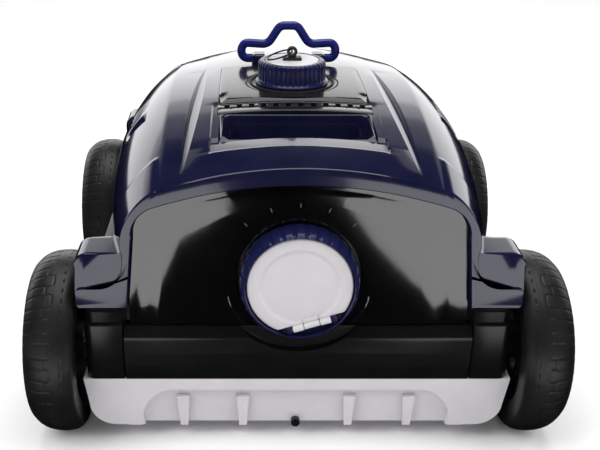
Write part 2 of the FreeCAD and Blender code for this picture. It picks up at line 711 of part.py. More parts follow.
def nozzle_ring():
    """Turning collar with a neck in the duct, a seat for the flap and two hinge ears."""
    back, front = RING_SPAN
    seat = FLAP_FACE - FLAP_THICK - CLEAR
    neck = DUCT_BORE - RUNNING
    neck_end = 168.0
    lip = FLAP_RADIUS + 1
    profile = [(RING_BORE, neck_end), (neck, neck_end), (neck, back), (RING_RADIUS, back),
               (RING_RADIUS, front), (lip, front), (lip, seat), (RING_BORE, seat)]
    ring = lathe([(radius, -place) for radius, place in profile], Y_AXIS)
    disc = rod(neck - 0.2, (0, -seat, 0), (0, -seat + 4, 0))
    parts = [ring, disc.common(block(around(FAR), around(FAR), (-FAR, 1.5 - FLAP_CHORD)))]
    for sign in (-1, 1):
        span = sorted((sign * EAR_SPAN[0], sign * EAR_SPAN[1]))
        parts.append(block(span, (-HINGE_Y - 1.6, 1 - seat), (-HINGE_DROP - 2.2, -HINGE_DROP + 1.6)))
    ring = joined(parts).cut(hinge_rod(FLAP_PIN_RADIUS, -FLAP_PIN_HALF, FLAP_PIN_HALF))
    notches = 30
    notch = block(around(1.1), (-front - 1, -front + 2.5), (RING_RADIUS - 1.4, RING_RADIUS + 2))
    for number in range(notches):
        bite = notch.copy()
        bite.rotate(CENTRE, Y_AXIS, 360 / notches * number)
        ring = ring.cut(bite)
    return nozzle_place(ring)


def flap():
    """Round outlet flap with a sunk centre, cut straight at its hinge."""
    disc = rod(FLAP_RADIUS, (0, -FLAP_FACE, 0), (0, -FLAP_FACE + FLAP_THICK, 0))
    sunk = rod(FLAP_RADIUS - 8.5, (0, -FLAP_FACE - 1, 0), (0, -FLAP_FACE + 1.2, 0))
    below = block(around(FAR), around(FAR), (-FAR, -FLAP_CHORD))
    barrel = hinge_rod(BARREL_RADIUS, -BARREL_HALF, BARREL_HALF)
    web = block(around(BARREL_HALF), (-FLAP_FACE, 2 - FLAP_FACE), (-HINGE_DROP, 1 - FLAP_CHORD))
    body = joined([disc.cut(sunk).cut(below), barrel, web])
    body = body.cut(hinge_rod(FLAP_PIN_RADIUS + RUNNING, -BARREL_HALF - 1, BARREL_HALF + 1))
    return nozzle_place(body)


def flap_pin():
    return nozzle_place(hinge_rod(FLAP_PIN_RADIUS, -FLAP_PIN_HALF, FLAP_PIN_HALF))


def flap_spring():
    """Two torsion springs on the pin, outside the ears, as plain sleeves."""
    sleeves = []
    for sign in (-1, 1):
        start = sign * (EAR_SPAN[1] + 0.2)
        end = sign * (FLAP_PIN_HALF - 0.5)
        sleeves.append(hinge_rod(1.7, start, end).cut(hinge_rod(FLAP_PIN_RADIUS, start, end)))
    return nozzle_place(Part.makeCompound(sleeves))


# ---- charging port and its cap -----------------------------------------------------
def at_port(shape):
    shape.translate(Vector(0, PORT_Y, 0))
    return shape


def port_flange():
    """Light collar in the hatch with the threaded neck of the charging port."""
    profile = [(NECK_BORE, PORT_FOOT), (PORT_RADIUS, PORT_FOOT), (PORT_RADIUS, PORT_FACE),
               (NECK_RADIUS, PORT_FACE), (NECK_RADIUS, NECK_TOP), (NECK_BORE, NECK_TOP)]
    groove = Part.makeTorus(SEAL_RADIUS, SEAL_WIRE, Vector(0, 0, PORT_FACE), Z_AXIS)
    return at_port(lathe(profile, Z_AXIS).cut(groove))


def port_seal():
    return at_port(Part.makeTorus(SEAL_RADIUS, SEAL_WIRE, Vector(0, 0, PORT_FACE), Z_AXIS))


def charging_socket():
    """Two-pin socket and the seat of the power button, down in the neck."""
    body = rod(NECK_BORE, (0, 0, PORT_FOOT - 10), (0, 0, SOCKET_FACE))
    body = body.cut(rod(7.0, (0, -6, PORT_FOOT - 4), (0, -6, FAR)))
    pins = [rod(1.2, (x, -6, PORT_FOOT - 5), (x, -6, SOCKET_FACE - 2)) for x in (-3, 3)]
    x, y = BUTTON_SPOT
    seat = rod(BUTTON_RADIUS + 2 * RUNNING, (x, y, BUTTON_FOOT - 2), (x, y, FAR))
    return at_port(joined([body] + pins).cut(seat))


def power_button():
    x, y = BUTTON_SPOT
    return at_port(rod(BUTTON_RADIUS, (x, y, BUTTON_FOOT + 0.3), (x, y, SOCKET_FACE + 2)))


def port_plug():
    """Centre of the cap: a disc trapped by the collar, with a plug that enters the neck."""
    plug = NECK_BORE - 0.3
    trap = DISC_RADIUS + 2
    profile = [(0, CAP_BOTTOM), (plug, CAP_BOTTOM), (plug, NECK_TOP + 0.4), (trap, NECK_TOP + 0.4),
               (trap, LIP_Z), (DISC_RADIUS, LIP_Z), (DISC_RADIUS, CAP_TOP), (0, CAP_TOP)]
    return at_port(lathe(profile, Z_AXIS))


def cap_ring():
    """Knurled collar that screws down over the neck and traps the centre disc."""
    skirt = NECK_RADIUS + 0.4
    trap = DISC_RADIUS + 2.3
    hole = DISC_RADIUS + 0.3
    profile = [(skirt, CAP_BOTTOM), (CAP_LIP, CAP_BOTTOM), (CAP_LIP, CAP_BOTTOM + 2),
               (CAP_RADIUS, CAP_BOTTOM + 2), (CAP_RADIUS, CAP_TOP), (hole, CAP_TOP),
               (hole, LIP_Z + 0.2), (trap, LIP_Z + 0.2), (trap, NECK_TOP + 0.2), (skirt, NECK_TOP + 0.2)]
    ring = lathe(profile, Z_AXIS)
    knurls = 40
    groove = block(around(0.8), (CAP_RADIUS - 0.8, CAP_RADIUS + 2), (CAP_BOTTOM + 4, CAP_TOP - 1))
    for number in range(knurls):
        cut = groove.copy()
        cut.rotate(CENTRE, Z_AXIS, 360 / knurls * number)
        ring = ring.cut(cut)
    return at_port(ring)


def plug_lug():
    """Eye on the disc that the tether ring passes through."""
    foot = block(around(8), around(5), (CAP_TOP, CAP_TOP + 2.5))
    post = block(around(4.5), around(2.5), (CAP_TOP, LUG_EYE_Z))
    eye = rod(4.5, (0, -2.5, LUG_EYE_Z), (0, 2.5, LUG_EYE_Z))
    return at_port(joined([foot, post, eye]).cut(rod(2.0, (0, -3, LUG_EYE_Z), (0, 3, LUG_EYE_Z))))


def tether_ring():
    """Wire ring through the eye of the lug, lying back over the disc."""
    radius = 11.0
    ring = Part.makeTorus(radius, 0.7, CENTRE, Z_AXIS)
    ring.translate(Vector(-radius, 0, 0))
    ring.rotate(CENTRE, Y_AXIS, -18)
    ring.translate(Vector(0, 0, LUG_EYE_Z + 0.6))
    return at_port(ring)


# ---- lifting handle ----------------------------------------------------------------
def handle():
    """Wavy bail: a round bar bent at every corner of a line, with straight ends."""
    half = [(27, 0, 0), (43.6, 0, 6), (43, 14.5, 6), (19, 13, 9), (8, 30.1, 8)]
    corners = half + [(-x, z, radius) for x, z, radius in reversed(half)]
    spots = [Vector(x, HANDLE_Y, HANDLE_Z + z) for x, z, _ in corners]
    path = []
    last = spots[0]
    for i in range(1, len(corners) - 1):
        back = (spots[i - 1] - spots[i]).normalize()
        ahead = (spots[i + 1] - spots[i]).normalize()
        opening = back.getAngle(ahead)
        radius = corners[i][2]
        reach = radius / math.tan(opening / 2)
        middle = (back + ahead).normalize()
        bend = spots[i] + middle * (radius / math.sin(opening / 2) - radius)
        path.append(Part.makeLine(last, spots[i] + back * reach))
        path.append(Part.Arc(spots[i] + back * reach, bend, spots[i] + ahead * reach).toShape())
        last = spots[i] + ahead * reach
    path.append(Part.makeLine(last, spots[-1]))
    end = Part.Face(Part.Wire(Part.makeCircle(HANDLE_BAR, spots[0], X_AXIS)))
    return Part.Wire(path).makePipe(end)


def handle_base():
    """Saddle behind the hatch that holds both ends of the bail."""
    half = 34.0
    deep = 9.0
    body = block(around(half), (HANDLE_Y - deep, HANDLE_Y + deep), (DECK_Z + 60, HANDLE_Z + 5))
    body = rounded(body, 4.0, lambda end: near(abs(end.X), half))
    finger_gap = block(around(22.0), around(FAR), (HANDLE_Z - 1.5, FAR))
    body = body.cut(finger_gap)
    hole = rod(HANDLE_BAR + RUNNING, (26, HANDLE_Y, HANDLE_Z), (half + 1, HANDLE_Y, HANDLE_Z))
    return cut_all(body, [dome(0), hole, mirrored(hole)])


# ---- wheels ------------------------------------------------------------------------
def wheel_shapes():
    """Tyre, hub and hub cap of a right wheel, turned about the X axis at the origin."""
    outer = TRACK / 2
    inner = outer - WHEEL_WIDTH
    bore = AXLE_RADIUS + RUNNING
    barrel = [(66.5, inner), (69.8, inner + 3), (71.5, inner + 8), (WHEEL_RADIUS, inner + 14),
              (71.5, inner + 21), (69.5, inner + 28), (65.5, inner + 34), (60.5, outer)]
    tyre = lathe([(HUB_RADIUS, inner)] + barrel + [(HUB_RADIUS, outer)], X_AXIS)
    hub = lathe([(bore, inner + 1), (15, inner + 1), (15, inner + 15), (HUB_RIM, inner + 15),
                 (HUB_RIM, inner + 1), (HUB_RADIUS, inner + 1), (HUB_RADIUS, outer - 2),
                 (HUB_RIM, outer - 2), (HUB_RIM - 2, inner + 20), (16, inner + 20),
                 (16, outer - 6), (bore, outer - 6)], X_AXIS)
    for number in range(HUB_HOLES):
        gap = rod(8.5, (inner, 33, 0), (outer, 33, 0))
        gap.rotate(CENTRE, X_AXIS, 360 / HUB_HOLES * number)
        hub = hub.cut(gap)
    cap = lathe([(0, outer - 6), (16, outer - 6), (16, outer - 3), (12, outer - 1), (0, outer - 0.5)],
                X_AXIS)
    return {"tyre": tyre, "hub": hub, "hub_cap": cap}


def place_wheel(shape, x_sign, y_sign):
    placed = shape.copy() if x_sign > 0 else mirrored(shape)
    placed.translate(Vector(0, y_sign * WHEELBASE / 2, WHEEL_RADIUS))
    return placed


def wheel_axles():
    start = (CHASSIS_HALF[0] - 6, WHEELBASE / 2, WHEEL_RADIUS)
    end = (TRACK / 2 - 6.2, WHEELBASE / 2, WHEEL_RADIUS)
    return Part.makeCompound(four_corners(rod(AXLE_RADIUS, start, end)))


def shell_screws():
    """Screws from under the deck into the posts of the shell."""
    under = DECK_Z - 4
    screws = []
    for x, y in screw_spots():
        head = rod(3.6, (x, y, under - 2.4), (x, y, under))
        screws.append(joined([head, rod(SCREW_RADIUS, (x, y, under), (x, y, DECK_Z + 14))]))
    return Part.makeCompound(screws)


def hinge_pins():
    """Pins of the two intake flaps and of the two side clips."""
    clip = latch_rod(LATCH_PIN_RADIUS, LATCH_HALF + 4)
    pins = both_ends(intake_pin(INTAKE_PIN_RADIUS, INTAKE_EAR[1])) + [clip, mirrored(clip)]
    return Part.makeCompound(pins)


# ---- write every piece -------------------------------------------------------------
SINGLE = (top_shell, main_chassis, base_tray, hatch_frame, top_hatch, hatch_grille, grip_recess,
          port_flange, port_seal, charging_socket, power_button, port_plug, cap_ring, plug_lug,
          tether_ring, handle, handle_base, motor_can, motor_shaft, motor_cradle, shaft_seals,
          battery_packs, control_board, filter_frame, filter_screen, wheel_axles, shell_screws,
          hinge_pins, skid_nub)
for make in SINGLE:
    save(make.__name__, make())

PAIRED = {"window": end_window, "duct": duct, "propeller": propeller, "nozzle_ring": nozzle_ring,
          "flap": flap, "flap_pin": flap_pin, "flap_spring": flap_spring, "intake_flap": intake_flap}
for name, make in PAIRED.items():
    for end, shape in zip(ENDS, both_ends(make())):
        save(end + "_" + name, shape)

wheel = wheel_shapes()
for end, y_sign in zip(ENDS, (-1, 1)):
    for side, x_sign in SIDES:
        for piece, shape in wheel.items():
            save("_".join((end, side, piece)), place_wheel(shape, x_sign, y_sign))

latch = side_latch()
save("right_latch", latch)
save("left_latch", mirrored(latch))
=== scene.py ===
import json
import math

import bmesh
import bpy
from mathutils import Matrix, Vector


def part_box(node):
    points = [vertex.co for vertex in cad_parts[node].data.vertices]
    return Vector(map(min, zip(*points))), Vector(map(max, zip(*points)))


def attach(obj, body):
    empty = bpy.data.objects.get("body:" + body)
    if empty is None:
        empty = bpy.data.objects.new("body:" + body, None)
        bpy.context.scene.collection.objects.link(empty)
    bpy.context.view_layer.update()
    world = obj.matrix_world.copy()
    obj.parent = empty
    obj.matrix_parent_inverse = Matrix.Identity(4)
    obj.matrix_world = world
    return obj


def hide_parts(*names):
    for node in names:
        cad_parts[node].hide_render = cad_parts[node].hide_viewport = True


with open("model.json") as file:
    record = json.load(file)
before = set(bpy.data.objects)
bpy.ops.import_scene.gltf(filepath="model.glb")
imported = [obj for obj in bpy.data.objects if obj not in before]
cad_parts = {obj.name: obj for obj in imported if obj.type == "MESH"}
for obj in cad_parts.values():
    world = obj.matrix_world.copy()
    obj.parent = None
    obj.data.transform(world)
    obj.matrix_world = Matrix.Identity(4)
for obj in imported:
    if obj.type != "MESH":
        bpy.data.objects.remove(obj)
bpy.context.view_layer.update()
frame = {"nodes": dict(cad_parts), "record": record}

# A four-wheeled pool cleaner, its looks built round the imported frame. Helpers take
# millimetres in the frame's axes: X across the wheels, Y from front to rear, Z up.

MM = 0.001
TURN = 2 * math.pi
ENDS = (("front", -1), ("rear", 1))
SIDES = (("left", -1), ("right", 1))
SIGNS = (-1, 1)


def box_mm(node):
    low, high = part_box(node)
    return low / MM, high / MM


# ---- sizes read from the frame -----------------------------------------------------
RING_LOW, RING_HIGH = box_mm("rear_nozzle_ring")
SHELL_LOW, SHELL_HIGH = box_mm("top_shell")
TYRE_LOW, TYRE_HIGH = box_mm("rear_right_tyre")
CAP_LOW, CAP_HIGH = box_mm("cap_ring")
FLANGE_LOW, FLANGE_HIGH = box_mm("port_flange")
HATCH_LOW, HATCH_HIGH = box_mm("top_hatch")
GRILLE_HIGH = box_mm("hatch_grille")[1]
HANDLE_LOW, HANDLE_HIGH = box_mm("handle")

JET_Z = (box_mm("motor_can")[0].z + box_mm("motor_can")[1].z) / 2
RING_RADIUS = (RING_HIGH.x - RING_LOW.x) / 2
DECK_Z = SHELL_LOW.z
HALF_LENGTH = SHELL_HIGH.y
PORT_Y = (FLANGE_LOW.y + FLANGE_HIGH.y) / 2
PORT_RADIUS = (FLANGE_HIGH.x - FLANGE_LOW.x) / 2
WHEEL_RADIUS = (TYRE_HIGH.z - TYRE_LOW.z) / 2
WHEEL_Y = (TYRE_HIGH.y + TYRE_LOW.y) / 2
CAP_LIP = (CAP_HIGH.x - CAP_LOW.x) / 2

# The shell's own shape, the same rules as in the CAD
SIDE_MID, SIDE_DRAW = 153.0, 24.0
CREST_MID, CREST_DROP = 247.0, 12.9
CROWN_MID, CROWN_GROW = 7.0, 8.9
RIDGE_MID, RIDGE_DRAW = 104.0, 6.0
SHOULDER_MID, SHOULDER_RISE = 165.0, 7.0
TILT = math.radians(25)
ARCH_SIDE, ARCH_TOP = 127.0, 221.0
ARCH_CORNER = (108.0, 203.0)
ARCH_BEND = (117.95, 194.1)
ARCH_SHOULDER = (121.5, 180.0)
WINDOW_FACE = 178.0
WINDOW_HOLE = 46.4
FINGER_RADIUS = 59.0


# ---- mesh helpers ------------------------------------------------------------------
def grid(rows, columns, round_rows=False, round_columns=False):
    """Quads between rows of points stored one row after another."""
    faces = []
    for i in range(rows if round_rows else rows - 1):
        for j in range(columns if round_columns else columns - 1):
            a = i * columns + j
            b = i * columns + (j + 1) % columns
            c = ((i + 1) % rows) * columns + (j + 1) % columns
            d = ((i + 1) % rows) * columns + j
            faces.append((a, b, c, d))
    return faces


def mesh_piece(name, points, faces, sharp=35):
    """A smooth-shaded mesh object from points in millimetres, sharp where it turns quickly."""
    data = bpy.data.meshes.new(name)
    data.from_pydata([Vector(point) * MM for point in points], [], faces)
    edit = bmesh.new()
    edit.from_mesh(data)
    bmesh.ops.remove_doubles(edit, verts=edit.verts, dist=1e-6)
    bmesh.ops.recalc_face_normals(edit, faces=edit.faces)
    edit.to_mesh(data)
    edit.free()
    data.shade_smooth()
    data.set_sharp_from_angle(angle=math.radians(sharp))
    piece = bpy.data.objects.new(name, data)
    bpy.context.scene.collection.objects.link(piece)
    return piece


def finish_piece(piece, body, slot, material, *replaced):
    """Give a piece its finish and its body, and hide the CAD nodes it stands for. The slot is not used.
    """
    piece.data.materials.clear()
    piece.data.materials.append(material)
    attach(piece, body)
    if replaced:
        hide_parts(*replaced)
    return piece


def apply_modifiers(piece, sharp=35):
    """Replace the mesh by what its modifiers make of it."""
    graph = bpy.context.evaluated_depsgraph_get()
    done = bpy.data.meshes.new_from_object(piece.evaluated_get(graph))
    piece.modifiers.clear()
    piece.data = done
    done.shade_smooth()
    done.set_sharp_from_angle(angle=math.radians(sharp))
    return piece


def bevelled(piece, width, segments=3, angle=30, sharp=35):
    bevel = piece.modifiers.new("bevel", "BEVEL")
    bevel.width = width * MM
    bevel.segments = segments
    bevel.limit_method = "ANGLE"
    bevel.angle_limit = math.radians(angle)
    return apply_modifiers(piece, sharp)


def carved(piece, *cutters):
    """Cut the cutters out of a piece and throw them away."""
    for cutter in cutters:
        boolean = piece.modifiers.new("cut", "BOOLEAN")
        boolean.operation = "DIFFERENCE"
        boolean.solver = "EXACT"
        boolean.object = cutter
        apply_modifiers(piece)
        bpy.data.objects.remove(cutter)
    return piece


def merged(name, pieces):
    """One object from several that share a material."""
    edit = bmesh.new()
    for piece in pieces:
        piece.data.transform(piece.matrix_world)
        edit.from_mesh(piece.data)
    data = bpy.data.meshes.new(name)
    edit.to_mesh(data)
    edit.free()
    for piece in pieces:
        bpy.data.objects.remove(piece)
    data.set_sharp_from_angle(angle=math.radians(35))
    whole = bpy.data.objects.new(name, data)
    bpy.context.scene.collection.objects.link(whole)
    return whole


def block(name, x_span, y_span, z_span, round_by=0.0, segments=3):
    corners = [(x, y, z) for x in x_span for y in y_span for z in z_span]
    faces = [(0, 1, 3, 2), (4, 6, 7, 5), (0, 4, 5, 1), (2, 3, 7, 6), (0, 2, 6, 4), (1, 5, 7, 3)]
    piece = mesh_piece(name, corners, faces)
    return bevelled(piece, round_by, segments) if round_by else piece


def prism(name, outline, along, start, end, round_by=0.0, segments=3):
    """Push a closed outline along X, Y or Z. Outline points are the other two axes in order."""
    place = {"X": lambda p, t: (t, p[0], p[1]), "Y": lambda p, t: (p[0], t, p[1]),
             "Z": lambda p, t: (p[0], p[1], t)}[along]
    count = len(outline)
    points = [place(p, start) for p in outline] + [place(p, end) for p in outline]
    faces = [tuple(range(count)), tuple(range(2 * count - 1, count - 1, -1))]
    faces += [(i, (i + 1) % count, count + (i + 1) % count, count + i) for i in range(count)]
    piece = mesh_piece(name, points, faces)
    return bevelled(piece, round_by, segments) if round_by else piece


def turned(angle, radius, place, along, centre=(0, 0, 0)):
    """The point at an angle round an axis through centre."""
    a, b = radius * math.cos(angle), radius * math.sin(angle)
    offset = {"X": (place, a, b), "Y": (a, place, b), "Z": (a, b, place)}[along]
    return tuple(c + o for c, o in zip(centre, offset))


def lathe(name, profile, along, centre=(0, 0, 0), steps=96, closed=True, sharp=35):
    """Turn a profile of (radius, place along the axis) points."""
    points = [turned(TURN * i / steps, radius, place, along, centre)
              for i in range(steps) for radius, place in profile]
    return mesh_piece(name, points, grid(steps, len(profile), True, closed), sharp)


def shifted(outline, distance):
    """Move an open line of (x, z) points to its left by distance."""
    out = []
    for i, point in enumerate(outline):
        ahead = Vector(outline[min(i + 1, len(outline) - 1)])
        behind = Vector(outline[max(i - 1, 0)])
        run = ahead - behind
        side = Vector((-run.y, run.x)).normalized() if run.length > 1e-9 else Vector((0, 0))
        out.append((point[0] + side.x * distance, point[1] + side.y * distance))
    return out


def arc_through(start, middle, end, steps):
    """Points on the circle through three (x, z) points, both ends included."""
    (ax, ay), (bx, by), (cx, cy) = start, middle, end
    d = 2 * (ax * (by - cy) + bx * (cy - ay) + cx * (ay - by))
    a2, b2, c2 = ax * ax + ay * ay, bx * bx + by * by, cx * cx + cy * cy
    centre = Vector(((a2 * (by - cy) + b2 * (cy - ay) + c2 * (ay - by)) / d,
                     (a2 * (cx - bx) + b2 * (ax - cx) + c2 * (bx - ax)) / d))
    spoke = Vector(start) - centre
    turn = spoke.angle_signed(Vector(end) - centre)
    return [tuple(centre + Matrix.Rotation(-turn * i / steps, 2) @ spoke) for i in range(steps + 1)]


def ease(t):
    t = min(1.0, max(0.0, t))
    return t * t * (3 - 2 * t)


# ---- materials ---------------------------------------------------------------------
def surface(name, colour, roughness, metallic=0.0, specular=0.5, coat=0.0, grain=0.0, grain_size=900,
            mottle=0.15, dust=0.0):
    """Moulded plastic, rubber or metal with its own fine grain, uneven gloss and dust."""
    material = bpy.data.materials.new(name)
    material.use_nodes = True
    nodes, links = material.node_tree.nodes, material.node_tree.links
    shader = nodes["Principled BSDF"]
    shader.inputs["Metallic"].default_value = metallic
    shader.inputs["Specular IOR Level"].default_value = specular
    shader.inputs["Coat Weight"].default_value = coat
    shader.inputs["Coat Roughness"].default_value = 0.05
    place = nodes.new("ShaderNodeTexCoord")

    def noise(size, detail):
        texture = nodes.new("ShaderNodeTexNoise")
        texture.inputs["Scale"].default_value = size
        texture.inputs["Detail"].default_value = detail
        links.new(place.outputs["Object"], texture.inputs["Vector"])
        return texture.outputs["Fac"]

    def between(value, low, high):
        spread = nodes.new("ShaderNodeMapRange")
        spread.inputs["From Min"].default_value = 0.3
        spread.inputs["From Max"].default_value = 0.7
        spread.inputs["To Min"].default_value = low
        spread.inputs["To Max"].default_value = high
        links.new(value, spread.inputs["Value"])
        return spread.outputs["Result"]

    cloudy = noise(14, 4)
    links.new(between(cloudy, roughness * (1 - mottle), roughness * (1 + mottle)),
              shader.inputs["Roughness"])
    tint = nodes.new("ShaderNodeMix")
    tint.data_type = "RGBA"
    darker = [c * (1 - mottle * 0.6) for c in colour]
    lighter = [min(1.0, c * (1 + mottle * 0.5) + dust) for c in colour]
    tint.inputs["A"].default_value = (*darker, 1)
    tint.inputs["B"].default_value = (*lighter, 1)
    links.new(between(noise(45, 6), 0.0, 1.0), tint.inputs["Factor"])
    links.new(tint.outputs["Result"], shader.inputs["Base Color"])
    if grain:
        bump = nodes.new("ShaderNodeBump")
        bump.inputs["Strength"].default_value = grain
        bump.inputs["Distance"].default_value = 0.0004
        links.new(noise(grain_size, 3), bump.inputs["Height"])
        links.new(bump.outputs["Normal"], shader.inputs["Normal"])
    return material


NAVY = surface("navy_gloss", (0.0052, 0.0062, 0.027), 0.13, coat=0.35, grain=0.035, grain_size=260,
               dust=0.002)
WINDOW = surface("smoked_gloss", (0.0022, 0.0022, 0.0026), 0.07, specular=1.0, grain=0.02,
                 grain_size=200, dust=0.0006)
CHASSIS = surface("black_satin", (0.0045, 0.0045, 0.005), 0.24, specular=0.4, grain=0.12,
                  grain_size=1400, dust=0.001)
TRAY = surface("off_white_moulding", (0.60, 0.575, 0.61), 0.34, grain=0.08, grain_size=700, mottle=0.06)
NOZZLE = surface("nozzle_blue_moulding", (0.0075, 0.0088, 0.05), 0.22, grain=0.1, grain_size=1100,
                 dust=0.003)
FLAP = surface("flap_white_moulding", (0.56, 0.54, 0.565), 0.42, grain=0.1, grain_size=900, mottle=0.05)
HATCH = surface("hatch_black_gloss", (0.0085, 0.0085, 0.0095), 0.16, coat=0.2, grain=0.05,
                grain_size=500, dust=0.002)
HANDLE = surface("handle_blue_gloss", (0.0105, 0.0125, 0.125), 0.17, coat=0.3, grain=0.04,
                 grain_size=400, dust=0.004)
TYRE = surface("tyre_rubber", (0.0085, 0.0083, 0.0085), 0.40, specular=0.45, grain=0.25,
               grain_size=1500, mottle=0.25, dust=0.004)
PRINT = surface("dial_print", (0.075, 0.075, 0.08), 0.5, grain=0.4, grain_size=2500, mottle=0.5)
HUB = surface("hub_black", (0.009, 0.009, 0.01), 0.36, grain=0.12, grain_size=1300, dust=0.002)
FITTING = surface("fitting_black", (0.006, 0.006, 0.0065), 0.33, grain=0.12, grain_size=1300,
                  dust=0.002)
STEEL = surface("brushed_steel", (0.55, 0.55, 0.57), 0.28, metallic=1.0, grain=0.15, grain_size=1800)
RUBBER = surface("seal_rubber", (0.006, 0.006, 0.006), 0.6, grain=0.1, grain_size=1500)
MOTOR = surface("motor_aluminium", (0.45, 0.45, 0.47), 0.36, metallic=1.0, grain=0.1, grain_size=1300)
BATTERY = surface("battery_wrap", (0.015, 0.06, 0.22), 0.4, grain=0.1, grain_size=600)
BOARD = surface("board_green", (0.01, 0.075, 0.028), 0.38, grain=0.2, grain_size=900)
MESH = surface("filter_weave", (0.5, 0.53, 0.56), 0.7, grain=0.9, grain_size=650, mottle=0.2)
WIRE = surface("black_wire", (0.012, 0.012, 0.013), 0.35, metallic=0.6, grain=0.1, grain_size=1500)
WIRE_NODES = ("tether_ring", "front_flap_pin", "rear_flap_pin", "front_flap_spring", "rear_flap_spring")
BY_SLOT = {"shell_navy": NAVY, "smoked_window": WINDOW, "chassis_black": CHASSIS, "tray_white": TRAY,
           "nozzle_blue": NOZZLE, "flap_white": FLAP, "hatch_black": HATCH, "handle_blue": HANDLE,
           "tyre_black": TYRE, "hub_black": HUB, "fitting_black": FITTING, "steel": STEEL,
           "seal_rubber": RUBBER, "motor_grey": MOTOR, "battery_wrap": BATTERY, "board_green": BOARD,
           "filter_mesh": MESH}


def dress_cad_nodes():
    """Give every CAD node the finish of its slot."""
    for row in frame["record"]["subparts"]:
        node = frame["nodes"][row["node"]]
        node.data.materials.clear()
        finish = WIRE if row["node"] in WIRE_NODES else BY_SLOT[row["material_slot"]]
        node.data.materials.append(finish)


# ---- top shell ---------------------------------------------------------------------
def dome(y):
    """Ridge, side, crest, crown and shoulder of the shell's cross-section at y."""
    share = (y / HALF_LENGTH) ** 2
    return (RIDGE_MID - RIDGE_DRAW * share, SIDE_MID - SIDE_DRAW * share,
            CREST_MID - CREST_DROP * share, CROWN_MID + CROWN_GROW * share,
            SHOULDER_MID + SHOULDER_RISE * share)


def roof_z(x, y):
    """Height of the plain roof between the ridges."""
    ridge, _, crest, crown, _ = dome(y)
    return crest - crown * (x / ridge) ** 2


GROOVE_SPAN = (-174.0, 62.0)     # the groove down each side of the roof, from end to end
GROOVE_LINE = (85.5, 76.0)       # its distance from the middle at those ends
ROOF_XS = (0, 9, 18, 27, 36, 45, 54, 57, 60, 62, 63.2, 65.5, 66.7)
SHOULDER_STEPS = 34
FENDER_OUT = SHELL_HIGH.x
FENDER_TOP, LEDGE_TOP = 168.0, 141.0
HATCH_EDGE, GRIP_EDGE = 62.0, 60.0
HATCH_HOLE, GRIP_HOLE = (-79.5, 58.5), (-129.0, -80.0)
SLACK = 0.01
ROOF_LOW = 200.0                 # nothing of the roof between the ridges is lower
ROOF_STEP, VENT_STEP = 4.0, 1.5
VENT_SPAN = (-54.0, 14.0)
ARCH_CORNER_AT, ARCH_BEND_AT = 24, 34   # where those points come in arch_line
RIM_ROWS = ((0, 0.9), (0.3, 0.25), (0.9, 0.0), (9.5, 0.0))   # depth inwards, and rounding
SHELL_SHARP = 24


def side_line(side, shoulder, top, sweep, corner):
    """From the shoulder down the side and out over a fender or ledge to its underside."""
    line = [(side, shoulder - (shoulder - top - sweep) * i / 3) for i in range(1, 4)]
    line += [(side + sweep * (1 - math.cos(a)), top + sweep * (1 - math.sin(a)))
             for a in [math.pi / 2 * i / 8 for i in range(1, 9)]]
    line += [(FENDER_OUT - corner + corner * math.sin(a), top - corner * (1 - math.cos(a)))
             for a in [math.pi / 2 * i / 6 for i in range(7)]]
    line += [(FENDER_OUT, DECK_Z + 4), (FENDER_OUT - 0.5, DECK_Z + 1.6), (FENDER_OUT - 2.6, DECK_Z)]
    line += [(side + 2, DECK_Z), (side - 1, DECK_Z)]
    return line


def upright_line(side, shoulder):
    """The plain side between the fenders, with as many points as side_line."""
    return [(side, shoulder + (DECK_Z - shoulder) * i / 23) for i in range(1, 24)]


def section(y, kind="plain", inset=0.0, fender_inset=0.0):
    """Right half of the shell's cross-section at y, from the crest out and down to the deck."""
    ridge, side, crest, crown, shoulder = dome(y)
    line = [(float(x), roof_z(x, y)) for x in ROOF_XS]
    t = (y - GROOVE_SPAN[0]) / (GROOVE_SPAN[1] - GROOVE_SPAN[0])
    middle = GROOVE_LINE[0] + (GROOVE_LINE[1] - GROOVE_LINE[0]) * min(1, max(0, t))
    body = max(0.0, math.sin(math.pi * min(1, max(0, t)))) ** 0.8
    wide, deep = 0.7 + 4.3 * body, 3.2 * body
    for x, share in ((middle - wide, 0), (middle - wide * 0.86, 0.12), (middle + wide * 0.55, 1),
                     (middle + wide * 0.72, 1), (middle + wide * 0.95, 0.1), (middle + wide * 1.05, 0)):
        line.append((x, roof_z(x, y) - deep * share))
    line += [(x, roof_z(x, y)) for x in (ridge - 5, ridge - 1.2)]
    half = (side - ridge) / (1 - math.sin(TILT))
    tall = (crest - crown - shoulder) / math.cos(TILT)
    end = math.pi / 2 - TILT
    for i in range(SHOULDER_STEPS + 1):
        a = end * (1 - i / SHOULDER_STEPS) - (0.004 if i == 0 else 0)
        x, z = side - half + half * math.cos(a), shoulder + tall * math.sin(a)
        lift = raised(y, x, z, ridge)
        line.append((x + lift * math.cos(a), z + lift * math.sin(a)))
    upper = len(line)
    if kind == "plain":
        line += upright_line(side, shoulder)
    elif kind == "ledge":
        line += side_line(side, shoulder, LEDGE_TOP, 19.0, 5.0)
    else:
        line += side_line(side, shoulder, FENDER_TOP, 3.9, 10.0)
    if fender_inset:
        moved = shifted(line, -fender_inset)
        fillet_end = upper + 11
        line = line[:fillet_end] + moved[fillet_end:]
    if inset:
        line = shifted(line, -inset)
    line[0] = (0.0, line[0][1])
    return line


